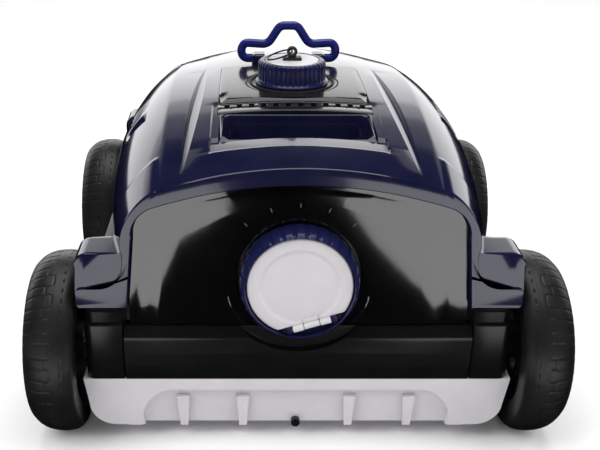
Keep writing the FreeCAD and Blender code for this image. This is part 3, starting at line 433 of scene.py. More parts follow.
def raised(y, x, z, ridge):
    """Relief on the shoulder: a raised collar at each end, and air slots near the middle."""
    lift = 1.3 * ease((abs(y) - 141 - (x - 112) * 0.45) / 4)
    lift *= ease((x - ridge - 3) / 4)
    slot = ease((z - 208) / 3) * ease((227 - z) / 3) * ease((y + 52) / 3) * ease((-27 - y) / 9)
    louvre = 0.0
    for start in (-19.0, -8.0, 3.0):
        along_y = ease((y - start) / 1.5) * ease((start + 6.5 - y) / 5)
        louvre += along_y * ease((z - 212) / 3) * ease((226 - z) / 3)
    return lift - 5.0 * slot - 2.2 * louvre


def shell_rows():
    """Rows from the rim to the middle: distance from the end, kind, insets."""
    rows = [(0.0, "ledge", 1.0, 0), (0.3, "ledge", 0.3, 0), (1.0, "ledge", 0, 0), (1.8, "ledge", 0, 0),
            (2.2, "fender", 0, 1.6), (2.7, "fender", 0, 0.5), (3.7, "fender", 0, 0),
            (5.3, "fender", 0, 0)]
    rows += [(e, "fender", 0, 0) for e in (8, 12, 16, 20, 24, 27, 29, 31)]
    rows += [(32.5, "fender", 0, 0.4), (33.6, "fender", 0, 1.5), (34.0, "plain", 0, 0)]
    rows += [(34.0 + 1.6 * i, "plain", 0, 0) for i in range(1, 14)]
    return rows


def arch_line(drop=0.0):
    """The end opening from the top of its arch to its foot, moved out by drop."""
    top = arc_through((-ARCH_CORNER[0], ARCH_CORNER[1]), (0, ARCH_TOP), ARCH_CORNER, 48)[24:]
    corner = arc_through(ARCH_CORNER, ARCH_BEND, ARCH_SHOULDER, 10)[1:]
    leg = [(ARCH_SHOULDER[0] + (ARCH_SIDE - ARCH_SHOULDER[0]) * i / 12,
            ARCH_SHOULDER[1] + (DECK_Z - ARCH_SHOULDER[1]) * i / 12) for i in range(1, 13)]
    line = shifted(top + corner + leg, drop)
    line[0] = (0.0, line[0][1])
    return line


def along(line, share):
    """The point at a share of an open line's length."""
    lengths = [0.0]
    for a, b in zip(line, line[1:]):
        lengths.append(lengths[-1] + math.dist(a, b))
    target = share * lengths[-1]
    for i in range(1, len(line)):
        if lengths[i] >= target - 1e-9:
            t = (target - lengths[i - 1]) / max(lengths[i] - lengths[i - 1], 1e-9)
            return tuple(p + (q - p) * t for p, q in zip(line[i - 1], line[i]))
    return line[-1]


def mirrored_row(line, y):
    """A whole row of points at y from its right half."""
    return [(-x, y, z) for x, z in reversed(line[1:])] + [(x, y, z) for x, z in line]


def shell_sections():
    """The cross-sections from front to rear, each with its place."""
    sections = []
    for e, kind, inset, fender_inset in shell_rows():
        for sign in SIGNS:
            y = sign * (HALF_LENGTH - e)
            sections.append((y, section(y, kind, inset, fender_inset)))
    middle = min(abs(y) for y, _ in sections)
    places = [*HATCH_HOLE, *GRIP_HOLE]
    y = 3 - middle
    while y < middle:
        if min(abs(y - edge) for edge in (*HATCH_HOLE, *GRIP_HOLE)) > 0.4:
            places.append(y)
        y += VENT_STEP if VENT_SPAN[0] < y < VENT_SPAN[1] else ROOF_STEP
    sections += [(y, section(y)) for y in places if abs(y) < middle - 1]
    return sorted(sections, key=lambda pair: pair[0])


def in_opening(face, points):
    """Whether a face of the roof lies over the hatch or the grip."""
    corners = [points[i] for i in face]
    wide = max(abs(x) for x, _, _ in corners) - SLACK
    low = min(y for _, y, _ in corners) + SLACK
    high = max(y for _, y, _ in corners) - SLACK
    over_hatch = wide <= HATCH_EDGE and HATCH_HOLE[0] <= low and high <= HATCH_HOLE[1]
    over_grip = wide <= GRIP_EDGE and GRIP_HOLE[0] <= low and high <= HATCH_HOLE[0]
    return min(z for _, _, z in corners) > ROOF_LOW and (over_hatch or over_grip)


def length(line):
    return sum(math.dist(a, b) for a, b in zip(line, line[1:]))


def opening_shares(line):
    """How far along the end opening each point of a cross-section is carried, from 0 to 1."""
    arch = arch_line()
    corner = length(arch[:ARCH_CORNER_AT + 1])
    bend = corner + length(arch[ARCH_CORNER_AT:ARCH_BEND_AT + 1])
    whole = bend + length(arch[ARCH_BEND_AT:])
    roof = len(ROOF_XS) + 8
    shoulder_end = roof + SHOULDER_STEPS
    reached = []
    for j, (x, _) in enumerate(line):
        if j <= roof:
            reached.append(corner * x / line[roof][0])
        elif j <= shoulder_end:
            reached.append(corner + (bend - corner) * (j - roof) / SHOULDER_STEPS)
        else:
            reached.append(bend + (whole - bend) * min(1.0, (j - shoulder_end) / 21))
    return [distance / whole for distance in reached]


def turn_down(shell):
    """Fold the edges of the openings in the roof down."""
    edit = bmesh.new()
    edit.from_mesh(shell.data)
    low, high = (GRIP_HOLE[0] - 0.2) * MM, (HATCH_HOLE[1] + 0.2) * MM

    def by_opening(vertex):
        x, y, z = vertex.co
        return abs(x) < (HATCH_EDGE + 0.1) * MM and z > ROOF_LOW * MM and low < y < high

    rim = [edge for edge in edit.edges if edge.is_boundary and all(by_opening(v) for v in edge.verts)]
    for part in bmesh.ops.extrude_edge_only(edit, edges=rim)["geom"]:
        if isinstance(part, bmesh.types.BMVert):
            part.co.z -= 4 * MM
    bmesh.ops.recalc_face_normals(edit, faces=edit.faces)
    edit.to_mesh(shell.data)
    edit.free()
    shell.data.shade_smooth()
    shell.data.set_sharp_from_angle(angle=math.radians(SHELL_SHARP))


def build_shell():
    """The cover: its outside, the rim and wall of each end opening, and the edges on the roof."""
    sections = shell_sections()
    count = 2 * len(sections[0][1]) - 1
    points = [sunk(point) for y, line in sections for point in mirrored_row(line, y)]
    faces = [face for face in grid(len(sections), count) if not in_opening(face, points)]
    for outer, (y, line) in ((0, sections[0]), ((len(sections) - 1) * count, sections[-1])):
        inward = -1 if y > 0 else 1
        base = len(points)
        shares = opening_shares(line)
        for depth, drop in RIM_ROWS:
            moved = arch_line(drop)
            points += mirrored_row([along(moved, share) for share in shares], y + inward * depth)
        faces += [(outer + j, outer + j + 1, base + j + 1, base + j) for j in range(count - 1)]
        faces += [tuple(base + i for i in face) for face in grid(len(RIM_ROWS), count)]
    shell = mesh_piece("top_shell_skin", points, faces, sharp=SHELL_SHARP)
    turn_down(shell)
    return finish_piece(shell, "hull", "shell_navy", NAVY, "top_shell")


def sunk(point):
    """A shallow border recess round the grip and the grille."""
    x, y, z = point
    inside = ease((66.5 - abs(x)) / 1.2) * ease((y + 149.6) / 1.0) * ease((-55 - y) / 2.0)
    return (x, y, z - (0.9 + ledge_fall(y)) * inside) if z > 200 else point


def ledge_fall(y):
    """How much the floor of the border recess falls towards the grip, in front of it."""
    return 2.2 * min(1.0, max(0.0, (y + 149.0) / 20.0)) * ease((-124.0 - y) / 3.0)


# ---- end windows -------------------------------------------------------------------
def reach(line, angle, centre_z):
    """How far a ray from the nozzle centre goes before it meets a line."""
    dx, dz = math.cos(angle), math.sin(angle)
    best = None
    for (ax, az), (bx, bz) in zip(line, line[1:]):
        ex, ez = bx - ax, bz - az
        bottom = dx * ez - dz * ex
        if abs(bottom) < 1e-9:
            continue
        t = (ax * ez - (az - centre_z) * ex) / bottom
        s = (ax * dz - (az - centre_z) * dx) / bottom
        if t > 0 and -1e-6 <= s <= 1 + 1e-6 and (best is None or t < best):
            best = t
    return best


# The foot of the window, and its raised panel: the inner and the outer edge of the panel's
# bevel as (x, z) points from the foot up to past the middle, and how far it stands out
WINDOW_FOOT = 106.6
PANEL_IN = [(20, 108.4), (104.5, 108.4), (102.8, 116), (99.0, 176), (97.6, 181.0), (93.5, 185.2),
            (75, 191.4), (57, 198.2), (30, 204.5), (0, 207.0), (-5, 207.0)]
PANEL_OUT = [(20, 107.2), (112.0, 107.2), (113.8, 112), (113.6, 122), (108.6, 181), (105.6, 190.0),
             (98.5, 199.5), (82, 206.8), (53, 213.2), (0, 218.6), (-5, 218.6)]
PANEL_RISE = 1.5
DIAL_RADIUS = 58.5
DIAL_ANGLES = (-42, -21, 0, 21, 42)


def build_dial(end, sign):
    """Printed strokes round the nozzle that show how far it is turned."""
    strokes = []
    for degrees in DIAL_ANGLES:
        lean = math.radians(degrees)
        across, up = Vector((math.cos(lean), -math.sin(lean))), Vector((math.sin(lean), math.cos(lean)))
        middle = Vector((0, JET_Z)) + up * DIAL_RADIUS
        corners = [middle + across * a * 0.35 + up * b * 1.7
                   for a, b in ((-1, -1), (1, -1), (1, 1), (-1, 1))]
        face = WINDOW_FACE + PANEL_RISE
        strokes.append(prism("stroke", [tuple(c) for c in corners], "Y", sign * (face - 0.2),
                             sign * (face + 0.03)))
    return finish_piece(merged(f"{end}_dial", strokes), "hull", "tray_white", PRINT)


def build_window(end, sign):
    """The glossy cover, drawn as rays from the nozzle out to the edge of the end opening."""
    arch = [(x, z) for x, z in reversed(arch_line(-0.5))]
    edge_line = [(20, WINDOW_FOOT), (arch[0][0], WINDOW_FOOT)] + arch + [(-5.0, arch[-1][1])]
    low = -math.asin((JET_Z - WINDOW_FOOT) / WINDOW_HOLE)
    angles = [low + (math.pi / 2 - low) * i / 110 for i in range(111)]
    corners = PANEL_IN[1:-2] + PANEL_OUT[1:-2] + [edge_line[1], (120.2, 186.0), (113.5, 198.5)]
    angles += [math.atan2(z - JET_Z, x) for x, z in corners]
    angles = sorted(set(round(a, 5) for a in angles if low <= a <= math.pi / 2))
    rows = []
    for angle in angles:
        rim, out, inn = (reach(line, angle, JET_Z) or 60 for line in (edge_line, PANEL_OUT, PANEL_IN))
        rim = max(rim, WINDOW_HOLE + 0.02)
        out = min(max(out, WINDOW_HOLE + 0.015), rim - 0.002)
        inn = min(max(inn, WINDOW_HOLE + 0.01), out - 0.002)
        near = min(55.4, inn)
        step = min(53.6, near)
        flat = PANEL_RISE * (1 - ease((math.radians(-4) - angle) / math.radians(24)))
        line = [(WINDOW_HOLE, -3.0), (WINDOW_HOLE, flat - 0.5), (min(WINDOW_HOLE + 0.5, step), flat),
                (step, flat)]
        line += [((step + near) / 2, flat * 0.35 + PANEL_RISE * 0.65), (near, PANEL_RISE)]
        line += [(near + (inn - near) * i / 4, PANEL_RISE) for i in range(1, 5)]
        line += [(inn + (out - inn) * i / 5,
                  PANEL_RISE * (1 - i / 5) + 0.22 * math.sin(math.pi * i / 5))
                 for i in range(1, 6)]
        line += [(out + (rim - out) * 0.6, 0.0), (max(rim - 0.4, out), -0.05), (rim, -0.5), (rim, -3.0)]
        rows.append([(r * math.cos(angle), sign * (WINDOW_FACE + h), JET_Z + r * math.sin(angle))
                     for r, h in line])
    points = [p for row in rows for p in row]
    points += [(-x, y, z) for row in reversed(rows[:-1]) for x, y, z in row]
    build_dial(end, sign)
    window = mesh_piece(f"{end}_window_skin", points, grid(2 * len(rows) - 1, len(rows[0])), sharp=28)
    return finish_piece(window, "hull", "smoked_window", WINDOW, f"{end}_window")


# ---- nozzles -----------------------------------------------------------------------
NOTCHES = 30
RING_FACE = RING_HIGH.y
EAR_FACE = 196.0
SEAT = 190.7
RING_LIP = 39.7
HINGE_Y = 194.6


def build_ring(end, sign):
    """The notched ring, its bore and its neck."""
    steps = NOTCHES * 10
    points = []
    profile = [(36.0, 168.5), (38.9, 168.5), (38.9, 176.6), (RING_RADIUS - 1.2, 176.6),
               (RING_RADIUS - 0.2, 177.4), (RING_RADIUS, 179), (RING_RADIUS, 184),
               (RING_RADIUS - 0.15, 189.5), (RING_RADIUS - 0.9, 192.4), (RING_RADIUS - 2.1, 194.4),
               (RING_RADIUS - 3.2, 195.6), (RING_LIP + 0.55, RING_FACE),
               (RING_LIP + 0.15, RING_FACE - 0.15), (RING_LIP, RING_FACE - 0.6), (RING_LIP, SEAT),
               (36.0, SEAT)]
    depth = [0, 0, 0, 0.1, 0.5, 0.9, 0.9, 1.1, 1.3, 1.0, 0.6, 0.1, 0, 0, 0, 0]
    for i in range(steps):
        phase = (i % 10) / 10
        notch = 1.0 if phase < 0.1 else 0.75 if phase < 0.2 or phase > 0.85 else 0.0
        for (radius, place), deep in zip(profile, depth):
            points.append(turned(TURN * i / steps, radius - deep * notch, sign * place, "Y",
                                 (0, 0, JET_Z)))
    return mesh_piece(f"{end}_ring_skin", points, grid(steps, len(profile), True, True), sharp=30)


def build_nozzle(end, sign):
    """The ring with the ears of the flap's hinge, which are turned with the nozzle."""
    low, high = box_mm(f"{end}_flap_pin")
    centre = (low + high) / 2
    lean = math.atan2(centre.x, JET_Z - centre.z)
    middle = Matrix.Translation((0, 0, JET_Z * MM))
    spin = middle @ Matrix.Rotation(-lean, 4, "Y") @ middle.inverted()
    drop = math.hypot(centre.x, JET_Z - centre.z)
    ears = []
    y_span, z_span = (sign * 190.4, sign * EAR_FACE), (JET_Z - drop - 3.0, JET_Z - drop + 2.6)
    for side in SIGNS:
        ear = block("ear", (side * 15.25, side * 19.0), y_span, z_span, 0.7)
        ear.data.transform(spin)
        ears.append(ear)
    whole = merged(f"{end}_nozzle_skin", [build_ring(end, sign)] + ears)
    finish_piece(whole, f"{end}_nozzle", "nozzle_blue", NOZZLE, f"{end}_nozzle_ring")
    return spin, drop


def build_flap(end, sign, spin, drop):
    """A disc cut straight at its hinge, with a sunk round and three knuckles."""
    radius, chord, face = 38.6, 28.3, 194.2
    steps = 120
    profile = [(0.0, face - 1.0), (14, face - 1.0), (25.6, face - 1.0), (26.6, face - 1.2),
               (27.6, face - 1.2), (28.2, face - 1.1), (29.4, face - 0.25), (30.0, face), (31.0, face),
               (36.8, face), (38.0, face - 0.25), (radius, face - 0.9), (radius, face - 3.0),
               (0.0, face - 3.0)]
    points = []
    for i in range(steps):
        angle = TURN * i / steps
        for r, place in profile:
            x, z = r * math.sin(angle), -r * math.cos(angle)
            limit = chord - (radius - r) * 0.02 - (0.5 if place < face - 0.8 and r > 37 else 0)
            if z < -limit:
                z = -limit
            points.append((x, sign * place, JET_Z + z))
    disc = mesh_piece("disc", points, grid(steps, len(profile), True, False), sharp=40)
    parts = [disc]
    for low, high, r in ((-14.4, -6.3, 2.5), (-5.9, 5.9, 2.25), (6.3, 14.4, 2.5)):
        knuckle_profile = [(0.9, low), (r - 0.4, low), (r, low + 0.4), (r, high - 0.4), (r - 0.4, high),
                           (0.9, high)]
        parts.append(lathe("knuckle", knuckle_profile, "X", (0, sign * HINGE_Y, JET_Z - drop), 32))
        parts.append(block("web", (low + 0.3, high - 0.3), (sign * 191.4, sign * 194.0),
                           (JET_Z - drop + 0.5, JET_Z - chord + 2.5), 0.4))
    for part in parts:
        part.data.transform(spin)
    flap = merged(f"{end}_flap_skin", parts)
    return finish_piece(flap, f"{end}_flap", "flap_white", FLAP, f"{end}_flap")


# ---- chassis -----------------------------------------------------------------------
BAND_HALF = 131.0
TOWER_INNER, TOWER_OUTER = 132.0, 161.5
BAND_LINE = ((182.0, 61.0), (182.9, 66.0), (183.6, 70.6), (184.0, 72.2), (184.0, 74.0), (184.0, 84.0),
             (184.0, 95.0), (184.0, 97.4), (183.7, 98.7), (183.0, 99.7), (181.6, 101.4), (179.6, 103.8),
             (178.6, 105.0), (178.0, 105.7), (176.4, 106.0))


def band_skin(sign):
    """The bumper band across the end, with a round hollow under the nozzle."""
    outline = [(sign * y, z) for y, z in BAND_LINE] + [(sign * 170.0, 106.0), (sign * 170.0, 61.0)]
    bar = prism("band", outline, "X", -BAND_HALF, BAND_HALF)
    inner, outer = sign * WINDOW_FACE, sign * 200
    profile = [(0, inner), (FINGER_RADIUS, inner), (FINGER_RADIUS, outer), (0, outer)]
    carved(bar, lathe("hollow", profile, "Y", (0, 0, JET_Z), 160, False))
    return bevelled(bar, 0.9, 3, 25)


def tower_skin(sign, side):
    """A corner tower: a rounded pillar below, a neck set back above."""
    levels = ((61.0, 0.2, 7.0), (61.6, 0, 7.0), (80.0, 0, 7.0), (106.4, 0, 7.0), (107.6, 0.25, 7.0),
              (108.4, 0.9, 7.0), (108.6, 2.6, 6.0), (117.6, 2.6, 6.0), (118.2, 1.9, 6.0),
              (118.9, 1.7, 6.0), (124.0, 1.7, 6.0))
    points, count = [], 0
    for z, back, corner in levels:
        face, out = 182.0 - back, TOWER_OUTER - back * 0.7
        outline = [(TOWER_INNER, 150.0), (TOWER_INNER, face - 1.2), (TOWER_INNER + 0.4, face - 0.35),
                   (TOWER_INNER + 1.2, face)]
        outline += [(out - corner + corner * math.sin(a), face - corner * (1 - math.cos(a)))
                    for a in [math.pi / 2 * i / 8 for i in range(9)]]
        outline += [(out, 165.0), (out, 150.0)]
        count = len(outline)
        points += [(side * x, sign * y, z) for x, y in outline]
    return mesh_piece("tower", points, grid(len(levels), count), sharp=40)


def build_chassis():
    """The black box between shell and tray: bands, towers, side walls and wheel bosses."""
    parts = []
    boss = [(6.2, 160.0), (6.2, 165.6), (6.6, 166.0), (9.9, 166.0), (10.5, 165.4), (10.5, 163.4),
            (11.5, 162.1), (13.5, 161.6)]
    for sign in SIGNS:
        parts.append(band_skin(sign))
        for side in SIGNS:
            parts.append(tower_skin(sign, side))
            parts.append(lathe("boss", [(r, side * p) for r, p in boss], "X",
                               (0, sign * WHEEL_Y, WHEEL_RADIUS), 48, False))
    inner = block("core", (-TOWER_OUTER, TOWER_OUTER), (-176.5, 176.5), (66.5, 105.6))
    hollow = block("hollow", (-154.5, 154.5), (-174.0, 174.0), (60, 110))
    carved(inner, hollow)
    parts.append(inner)
    for side in SIGNS:
        wall = [(side * x, z) for x, z in ((TOWER_OUTER, 61.0), (TOWER_OUTER, 123.2),
                                           (TOWER_OUTER - 0.4, 123.8), (TOWER_OUTER - 1.1, 124.0),
                                           (150.0, 124.0))]
        points = [(x, y, z) for y in (-152, -60, 0, 60, 152) for x, z in wall]
        parts.append(mesh_piece("wall", points, grid(5, len(wall))))
        parts.append(block("clip_ledge", (side * 160.0, side * 163.9), (-14, 14), (67, 70), 0.5))
    return finish_piece(merged("chassis_skin", parts), "hull", "chassis_black", CHASSIS, "main_chassis")


# ---- wheels ------------------------------------------------------------------------
TYRE_PROFILE = ((54.05, 0.0), (60.0, 0.0), (65.6, 0.0), (66.9, 0.5), (68.3, 1.5), (69.8, 3.2),
                (71.2, 6.6), (71.9, 11.0), (72.0, 14.0), (71.85, 18.0), (71.4, 21.5), (70.6, 25.0),
                (69.4, 28.2), (67.6, 31.4), (65.4, 34.0), (63.0, 36.3), (61.4, 37.6), (60.2, 38.0),
                (54.05, 38.0))
TYRE_INNER = 167.0
TREADS = 24
TREAD_RADIUS, TREAD_DEPTH = 70.0, 0.5
TONGUES = ((16.0, 5.4), (21.5, 4.68))   # where each tongue ends, and half its width
TONGUE_CORNER = 2.2


def tyre_radius(offset):
    """Radius of the tyre at a distance from its inner face."""
    for (r0, p0), (r1, p1) in zip(TYRE_PROFILE[2:-1], TYRE_PROFILE[3:]):
        if p0 <= offset <= p1 and p1 > p0:
            return r0 + (r1 - r0) * (offset - p0) / (p1 - p0)
    return TYRE_PROFILE[2][0]


def tread(angle, offset):
    """Depth of the tread grooves at a place on the tyre: outlined tongues from the outer edge."""
    pitches = angle * TREADS / TURN
    arc = TURN / TREADS * TREAD_RADIUS
    deep = 0.0
    for index, (tip, half_wide) in enumerate(TONGUES):
        across = abs((pitches + index * 0.5) % 1.0 - 0.5) * arc
        half = half_wide * (0.84 if offset > 27 else 1.0)
        dx = max(0.0, across - (half - TONGUE_CORNER))
        dy = max(0.0, (tip + TONGUE_CORNER) - offset)
        if offset > tip + TONGUE_CORNER:
            gap = abs(across - half)
        elif across <= half + 1 and dy > 0:
            gap = abs(math.hypot(dx, dy) - TONGUE_CORNER)
        else:
            gap = 9.0
        if offset >= tip - 0.8:
            deep = max(deep, 1 - ease((gap - 0.2) / 0.5))
    from_dash = abs((pitches + 0.25) % 0.5 - 0.25) * arc
    dash = ease((2.2 - from_dash) / 0.5) * ease((0.75 - abs(offset - 8.6)) / 0.4)
    band = 1 - ease((abs(offset - 11.6) - 0.2) / 0.5)
    return max(0.8 * deep, 0.9 * dash, 0.25 * band)


def build_tyre(sign, side, name, body):
    """A barrel-shaped tyre with its tread pressed in."""
    around, points = TREADS * 30, []
    offsets = [0.0, 1.0, 2.2, 4.0, 6.0, 7.4, 7.9, 8.6, 9.3, 9.8, 11.0, 11.6, 12.2, 13.4]
    offsets += [14.2 + 0.7 * i for i in range(32)] + [37.0, 38.0]
    for i in range(around):
        angle = TURN * i / around
        row = [(54.05, 0.0), (64.0, 0.0)]
        for offset in offsets:
            r = tyre_radius(offset) if offset > 0 else 65.6
            row.append((r - TREAD_DEPTH * tread(angle, offset), offset))
        row += [(56.5, 38.0), (55.4, 37.4), (54.05, 35.0)]
        for r, offset in row:
            points.append(turned(angle, r, side * (TYRE_INNER + offset), "X",
                                 (0, sign * WHEEL_Y, WHEEL_RADIUS)))
    tyre = mesh_piece(f"{name}_tyre_skin", points, grid(around, len(row), True, True), sharp=45)
    return finish_piece(tyre, body, "tyre_black", TYRE, f"{name}_tyre")


# ---- top fittings ------------------------------------------------------------------
def build_hatch():
    """The plate round the port: bevelled front, ridged rim and a round hole."""
    y0, y1, half, rise = HATCH_LOW.y, HATCH_HIGH.y, HATCH_HIGH.x, 1.5
    hole = PORT_RADIUS + 0.5
    angles = [TURN * i / 144 for i in range(144)]
    corners = [math.atan2(y - PORT_Y, x) % TURN for x in (-half, half) for y in (y0, y1)]
    angles = sorted(set([round(a, 6) for a in angles] + [round(a, 6) for a in corners]))
    points = []
    for angle in angles:
        dx, dy = math.cos(angle), math.sin(angle)
        edge = min(half / abs(dx) if abs(dx) > 1e-9 else 1e9,
                   ((y1 if dy > 0 else y0) - PORT_Y) / dy if abs(dy) > 1e-9 else 1e9)
        span = edge - hole
        front = ease((-dy - 0.3) * 3)
        shares = [0.0, 0.0, 0.8 / span, 0.25, 0.5, 0.7]
        bevel = 5.5 * front / max(0.2, -dy) if front > 0.5 else 1.6
        shares += [1 - bevel / span, 1 - bevel * 0.6 / span, 1 - 0.5 / span, 1.0, 1.0]
        drops = [-3.0, -0.6, 0, 0, 0, 0, 0, -0.25 - 1.0 * front * 0.6, -0.9 - 1.9 * front,
                 -1.3 - 2.0 * front, -5.0]
        for share, drop in zip(shares, drops):
            r = hole + span * min(1.0, max(share, 0.0))
            x, y = dx * r, PORT_Y + dy * r
            points.append((x, y, roof_z(x, y) + rise + drop))
    plate = mesh_piece("top_hatch_skin", points, grid(len(angles), 11, True), sharp=25)
    return finish_piece(plate, "hull", "hatch_black", HATCH, "top_hatch")


def build_grille():
    """Louvres in a shallow tray between the hatch and the grip."""
    parts = []
    half, y0, y1 = GRILLE_HIGH.x - 0.1, -79.0, -56.6
    profile = ((y0, -3.4), (y0, -0.7), (y0 + 0.7, -0.1), (-71.0, 0.0), (-70.0, -0.3), (-69.4, -4.2),
               (-60.2, -4.2), (-59.8, -0.6), (-59.0, -0.2), (y1, -0.2), (y1, -3.4))
    points = []
    for x in [half * (i / 32 - 1) for i in range(65)]:
        points += [(x, y, roof_z(x, y) + drop) for y, drop in profile]
    parts.append(mesh_piece("tray", points, grid(65, 11), sharp=30))
    pitch = 2 * (half - 2.0) / 12
    for i in range(13):
        x = -half + 2.0 + i * pitch
        z = roof_z(x, -65)
        outline = [(x - 4.0, z - 4.3), (x - 0.4, z - 4.3), (x + 3.0, z - 0.1), (x - 2.6, z - 0.1)]
        parts.append(prism("louvre", outline, "Y", -69.7, -59.9, 0.3))
    return finish_piece(merged("hatch_grille_skin", parts), "hull", "hatch_black", HATCH,
                        "hatch_grille")


def rounded_loop(x_half, y0, y1, corner, steps=8):
    """Points round a rectangle with rounded corners, starting at the same place each time."""
    out = []
    for cx, cy, start in ((x_half - corner, y1 - corner, 0), (-x_half + corner, y1 - corner, 90),
                          (-x_half + corner, y0 + corner, 180), (x_half - corner, y0 + corner, 270)):
        for i in range(steps + 1):
            a = math.radians(start + 90 * i / steps)
            out.append((cx + corner * math.cos(a), cy + corner * math.sin(a)))
    return out


def build_grip():
    """The hollow to lift by: a rounded cup with a lip."""
    rings = [(59.9, -128.9, -80.1, 1.0, None, -2.6), (59.9, -128.9, -80.1, 1.0, None, -0.9),
             (59.4, -128.4, -80.6, 1.0, None, -0.6), (57.6, -126.6, -82.4, 4.5, None, -0.6),
             (56.9, -125.9, -83.1, 6.0, None, -1.3), (56.4, -125.2, -83.6, 7.0, None, -3.0),
             (55.6, -124.4, -84.2, 8.0, 222.0, 0), (54.4, -123.0, -85.0, 9.0, 216.5, 0),
             (51.0, -119.5, -88.5, 8.0, 213.2, 0), (46.0, -114.5, -93.5, 5.0, 212.2, 0),
             (20.0, -106, -103, 1.0, 212.1, 0)]
    points = []
    for half, y0, y1, corner, level, drop in rings:
        for x, y in rounded_loop(half, y0, y1, corner):
            points.append((x, y, level if level is not None else roof_z(x, y) + drop - ledge_fall(y)))
    count = len(rounded_loop(1, 0, 1, 0.1))
    last = (len(rings) - 1) * count
    faces = grid(len(rings), count, False, True) + [tuple(range(last, last + count))]
    cup = mesh_piece("grip_recess_skin", points, faces, sharp=40)
    return finish_piece(cup, "hull", "shell_navy", NAVY, "grip_recess")


def build_cap():
    """The knurled cap ring with its lip."""
    knurls, per = 40, 8
    profile = [(23.6, 250.5, 0), (CAP_LIP - 0.7, 248.05, 0), (CAP_LIP, 248.5, 0), (CAP_LIP, 249.6, 0),
               (CAP_LIP - 0.5, 250.1, 0), (29.8, 250.6, 0), (29.0, 251.4, 0.3), (28.9, 252.2, 1),
               (28.9, 258.0, 1), (28.8, 263.6, 1), (28.4, 265.4, 0.9), (27.5, 266.5, 0.5),
               (26.2, 266.98, 0.05), (24.0, 267.0, 0), (23.0, 266.9, 0), (22.65, 266.4, 0),
               (22.65, 262.0, 0)]
    points = []
    for i in range(knurls * per):
        phase = (i % per) / per
        cut = 0.5 - 0.5 * math.cos(TURN * phase)
        for r, z, share in profile:
            points.append(turned(TURN * i / (knurls * per), r - 1.0 * share * cut ** 1.6, z, "Z",
                                 (0, PORT_Y, 0)))
    ring = mesh_piece("cap_ring_skin", points, grid(knurls * per, len(profile), True, True), sharp=50)
    return finish_piece(ring, "cap_collar", "nozzle_blue", NOZZLE, "cap_ring")


def bent(corners, steps=12):
    """A path through corners given with bend radii, its bends being tangent arcs."""
    path = [corners[0][:2]]
    for before, (x, h, bend), after in zip(corners, corners[1:-1], corners[2:]):
        here = Vector((x, h))
        back = (Vector(before[:2]) - here).normalized()
        ahead = (Vector(after[:2]) - here).normalized()
        half = back.angle(ahead) / 2
        centre = here + (back + ahead).normalized() * bend / math.sin(half)
        start = here + back * bend / math.tan(half) - centre
        sweep = start.angle_signed(here + ahead * bend / math.tan(half) - centre)
        path += [tuple(centre + Matrix.Rotation(-sweep * i / steps, 2) @ start)
                 for i in range(steps + 1)]
    return path + [corners[-1][:2]]


def build_handle():
    """A wavy bail of round bar on its two feet."""
    corners = [(27, 0, 0), (43.6, 0, 6), (43, 14.5, 6), (19, 13, 9), (8, 30.1, 8)]
    corners += [(-x, h, bend) for x, h, bend in reversed(corners)]
    path = bent(corners)
    low, high = HANDLE_LOW, HANDLE_HIGH
    y = (low.y + high.y) / 2
    radius = (high.y - low.y) / 2
    foot = low.z + radius
    curve = bpy.data.curves.new("bar", "CURVE")
    curve.dimensions = "3D"
    curve.bevel_depth = radius * MM * 0.995
    curve.bevel_resolution = 8
    spline = curve.splines.new("POLY")
    spline.points.add(len(path) - 1)
    for point, (x, h) in zip(spline.points, path):
        point.co = (x * MM, y * MM, (foot + h) * MM, 1.0)
    bar = bpy.data.objects.new("bar", curve)
    bpy.context.scene.collection.objects.link(bar)
    graph = bpy.context.evaluated_depsgraph_get()
    data = bpy.data.meshes.new_from_object(bar.evaluated_get(graph))
    bpy.data.objects.remove(bar)
    data.shade_smooth()
    handle = bpy.data.objects.new("handle_skin", data)
    bpy.context.scene.collection.objects.link(handle)
    return finish_piece(handle, "handle", "handle_blue", HANDLE, "handle")


def build_lug():
    """The black lug with the eye that the wire ring runs through."""
    low, high = box_mm("plug_lug")
    y = (low.y + high.y) / 2
    outer, bore = 4.5, 2.0
    middle = high.z - outer
    parts = [block("foot", (-8, 8), (y - 5, y + 5), (low.z, low.z + 2.5), 0.8)]
    profile = [(bore, -2.0), (bore + 0.4, -2.5), (outer - 0.6, -2.5), (outer, -1.9),
               (outer, 1.9), (outer - 0.6, 2.5), (bore + 0.4, 2.5), (bore, 2.0)]
    parts.append(lathe("eye", profile, "Y", (0, y, middle), 40))
    parts.append(block("stem", (-3.2, 3.2), (y - 2.4, y + 2.4), (low.z + 1.5, middle - 2.6), 0.5))
    return finish_piece(merged("plug_lug_skin", parts), "cap_plug", "fitting_black", FITTING,
                        "plug_lug")


# ---- camera, stage and light -------------------------------------------------------
def add_camera():
    """A camera in front of the cleaner and above it, looking slightly down."""
    data = bpy.data.cameras.new("camera")
    data.lens = 57.48
    data.sensor_width = 36
    data.shift_x = 0.0887
    data.clip_end = 50
    camera = bpy.data.objects.new("camera", data)
    camera.location = (-0.0385, -0.810, 0.463)
    camera.rotation_euler = (math.radians(90 - 23.5), 0, 0)
    bpy.context.scene.collection.objects.link(camera)
    bpy.context.scene.camera = camera


